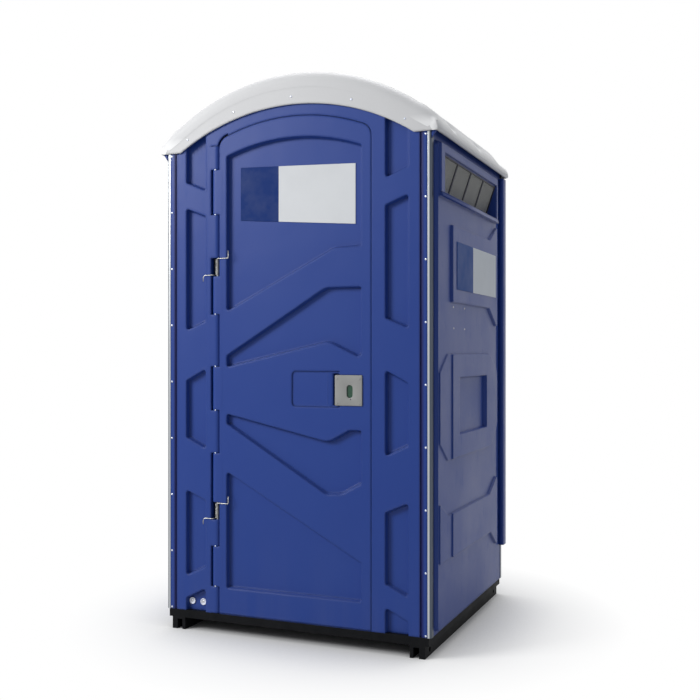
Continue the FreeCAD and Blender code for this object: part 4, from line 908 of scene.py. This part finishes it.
def makeSill(name, side):
    # a rounded bead: steep above so it sheds water, undercut below
    f = vents
    x, z = f["sillFoot"]
    size = Vector((f["sillProud"], f["sillBack"] - f["sillFront"], f["sillHeight"]))
    bm = bmesh.new()
    bmesh.ops.create_cube(bm, size=1.0)
    bmesh.ops.scale(bm, verts=bm.verts[:], vec=size)
    bmesh.ops.translate(bm, verts=bm.verts[:], vec=Vector((x, f["sillFront"], z)) + size / 2)
    outer = [vert for vert in bm.verts if vert.co.x > x + f["sillProud"] / 2]
    for vert in outer:
        if vert.co.z > z + f["sillHeight"] / 2:
            vert.co.x = x + f["sillTopProud"]
        else:
            vert.co.z += f["sillUndercut"]
    edges = [edge for edge in bm.edges if all(vert in outer for vert in edge.verts)]
    roundOff(bm, edges, f["sillEdge"], f["sillEdgeSteps"])
    toSide(bm, side)
    bmesh.ops.recalc_face_normals(bm, faces=bm.faces[:])
    finished(name, bm, paints["sillBlue"], "cabin")


netPaint = screenPaint()
for side, word in ((1, "right"), (-1, "left")):
    makeScreen("vent_net_" + word, side, netPaint)
    makeSill("vent_sill_" + word, side)
print("vent nets and sills in")

# camera at the photograph's height and angle
view = {
    "eye": (1.7293, -4.0935, 1.17), "yaw": 22.626, "focal": 50.0, "film": 36.0, "shiftY": 0.005,
    "farthest": 60.0,
}


def setCamera():
    lens = bpy.data.cameras.new("camera")
    lens.lens = view["focal"]
    lens.sensor_width = view["film"]
    lens.shift_y = view["shiftY"]
    lens.clip_end = view["farthest"]
    camera = bpy.data.objects.new("camera", lens)
    camera.location = view["eye"]
    camera.rotation_euler = (quarter, 0, math.radians(view["yaw"]))
    bpy.context.scene.collection.objects.link(camera)
    bpy.context.scene.camera = camera


# a pale floor that keeps the shadow near the cabin and runs out into the white round it
ground = {
    "size": 30.0, "pale": (1.0, 0.995, 0.985, 1), "patches": (0.9, 0.9, 0.9, 1),
    "bounce": (0.62, 0.62, 0.62, 1),                          # what the cabin sees of it
    "shade": (0.42, 0.42, 0.43, 1), "shadeReach": 0.5,        # close under the cabin
    "fade": (0.55, 1.25), "nearWhite": 0.28,                  # radii round the middle, white at the nearer
}


def makeFloor():
    f = ground
    paint = Paint("floorPale", Roughness=0.9, Specular_IOR_Level=0.1)
    tone = paint.noise(1.2, 2.0).span(0.3, 0.7, 0.0, 0.02)
    pale = paint.blend(tone, f["pale"], f["patches"])
    openness = paint.node("ShaderNodeAmbientOcclusion", {"samples": 8}, {"Distance": f["shadeReach"]}, "AO")
    shaded = paint.blend(openness.span(0.2, 0.95), f["shade"], pale)
    paint.set("Base Color", paint.blend(paint.ray("Is Diffuse Ray"), shaded, f["bounce"]))
    radius = paint.node("ShaderNodeVectorMath", {"operation": "LENGTH"},
                        {0: paint.stretched((1.0, 1.0, 0.0))}, "Value")
    away = radius.span(*f["fade"], f["nearWhite"], 1.0) * openness.span(0.1, 0.9)
    white = paint.node("ShaderNodeEmission", {}, {"Color": (1, 1, 1, 1), "Strength": 1.0})
    mixed = paint.node("ShaderNodeMixShader", {},
                       {0: away * paint.inView(), 1: Wire(paint, paint.shader.outputs[0]), 2: white})
    paint.join(paint.tree.nodes["Material Output"].inputs["Surface"], mixed)
    bm = bmesh.new()
    bmesh.ops.create_grid(bm, x_segments=2, y_segments=2, size=f["size"])
    floor = finished("floor", bm, paint, None, False)


# soft lamps, and a weak sky that is plain white where it is seen
lamps = {
    "key": dict(place=(-4.6, -4.7, 4.3), target=(0, 0, 1.2), size=(2.4, 2.4), power=400),
    "top": dict(place=(0.4, 0.9, 5.5), target=(0.2, 0.5, 1.5), size=(3.4, 3.0), power=130),
}
sky = {"colour": (0.86, 0.9, 0.96, 1), "strength": 0.3}


def softLamp(name, place, target, size, power):
    data = bpy.data.lights.new(name, "AREA")
    data.shape = "RECTANGLE"
    data.size, data.size_y = size
    data.energy = power
    lamp = bpy.data.objects.new(name, data)
    lamp.location = place
    lamp.rotation_euler = (Vector(target) - Vector(place)).to_track_quat("-Z", "Y").to_euler()
    bpy.context.scene.collection.objects.link(lamp)


def skyLight():
    world = bpy.data.worlds.new("studio")
    bpy.context.scene.world = world
    world.use_nodes = True
    nodes = Nodes(world.node_tree)
    nodes.tree.nodes.remove(nodes.tree.nodes["Background"])      # a mix takes its place
    glow = nodes.node("ShaderNodeBackground", {}, {"Color": sky["colour"], "Strength": sky["strength"]})
    white = nodes.node("ShaderNodeBackground", {}, {"Color": (1, 1, 1, 1), "Strength": 1.0})
    mixed = nodes.node("ShaderNodeMixShader", {}, {0: nodes.inView(), 1: glow, 2: white})
    nodes.join(nodes.tree.nodes["World Output"].inputs["Surface"], mixed)


setCamera()
makeFloor()
skyLight()
for name, facts in lamps.items():
    softLamp(name, **facts)
bpy.context.scene.view_settings.view_transform = "Standard"
print("camera and studio set")
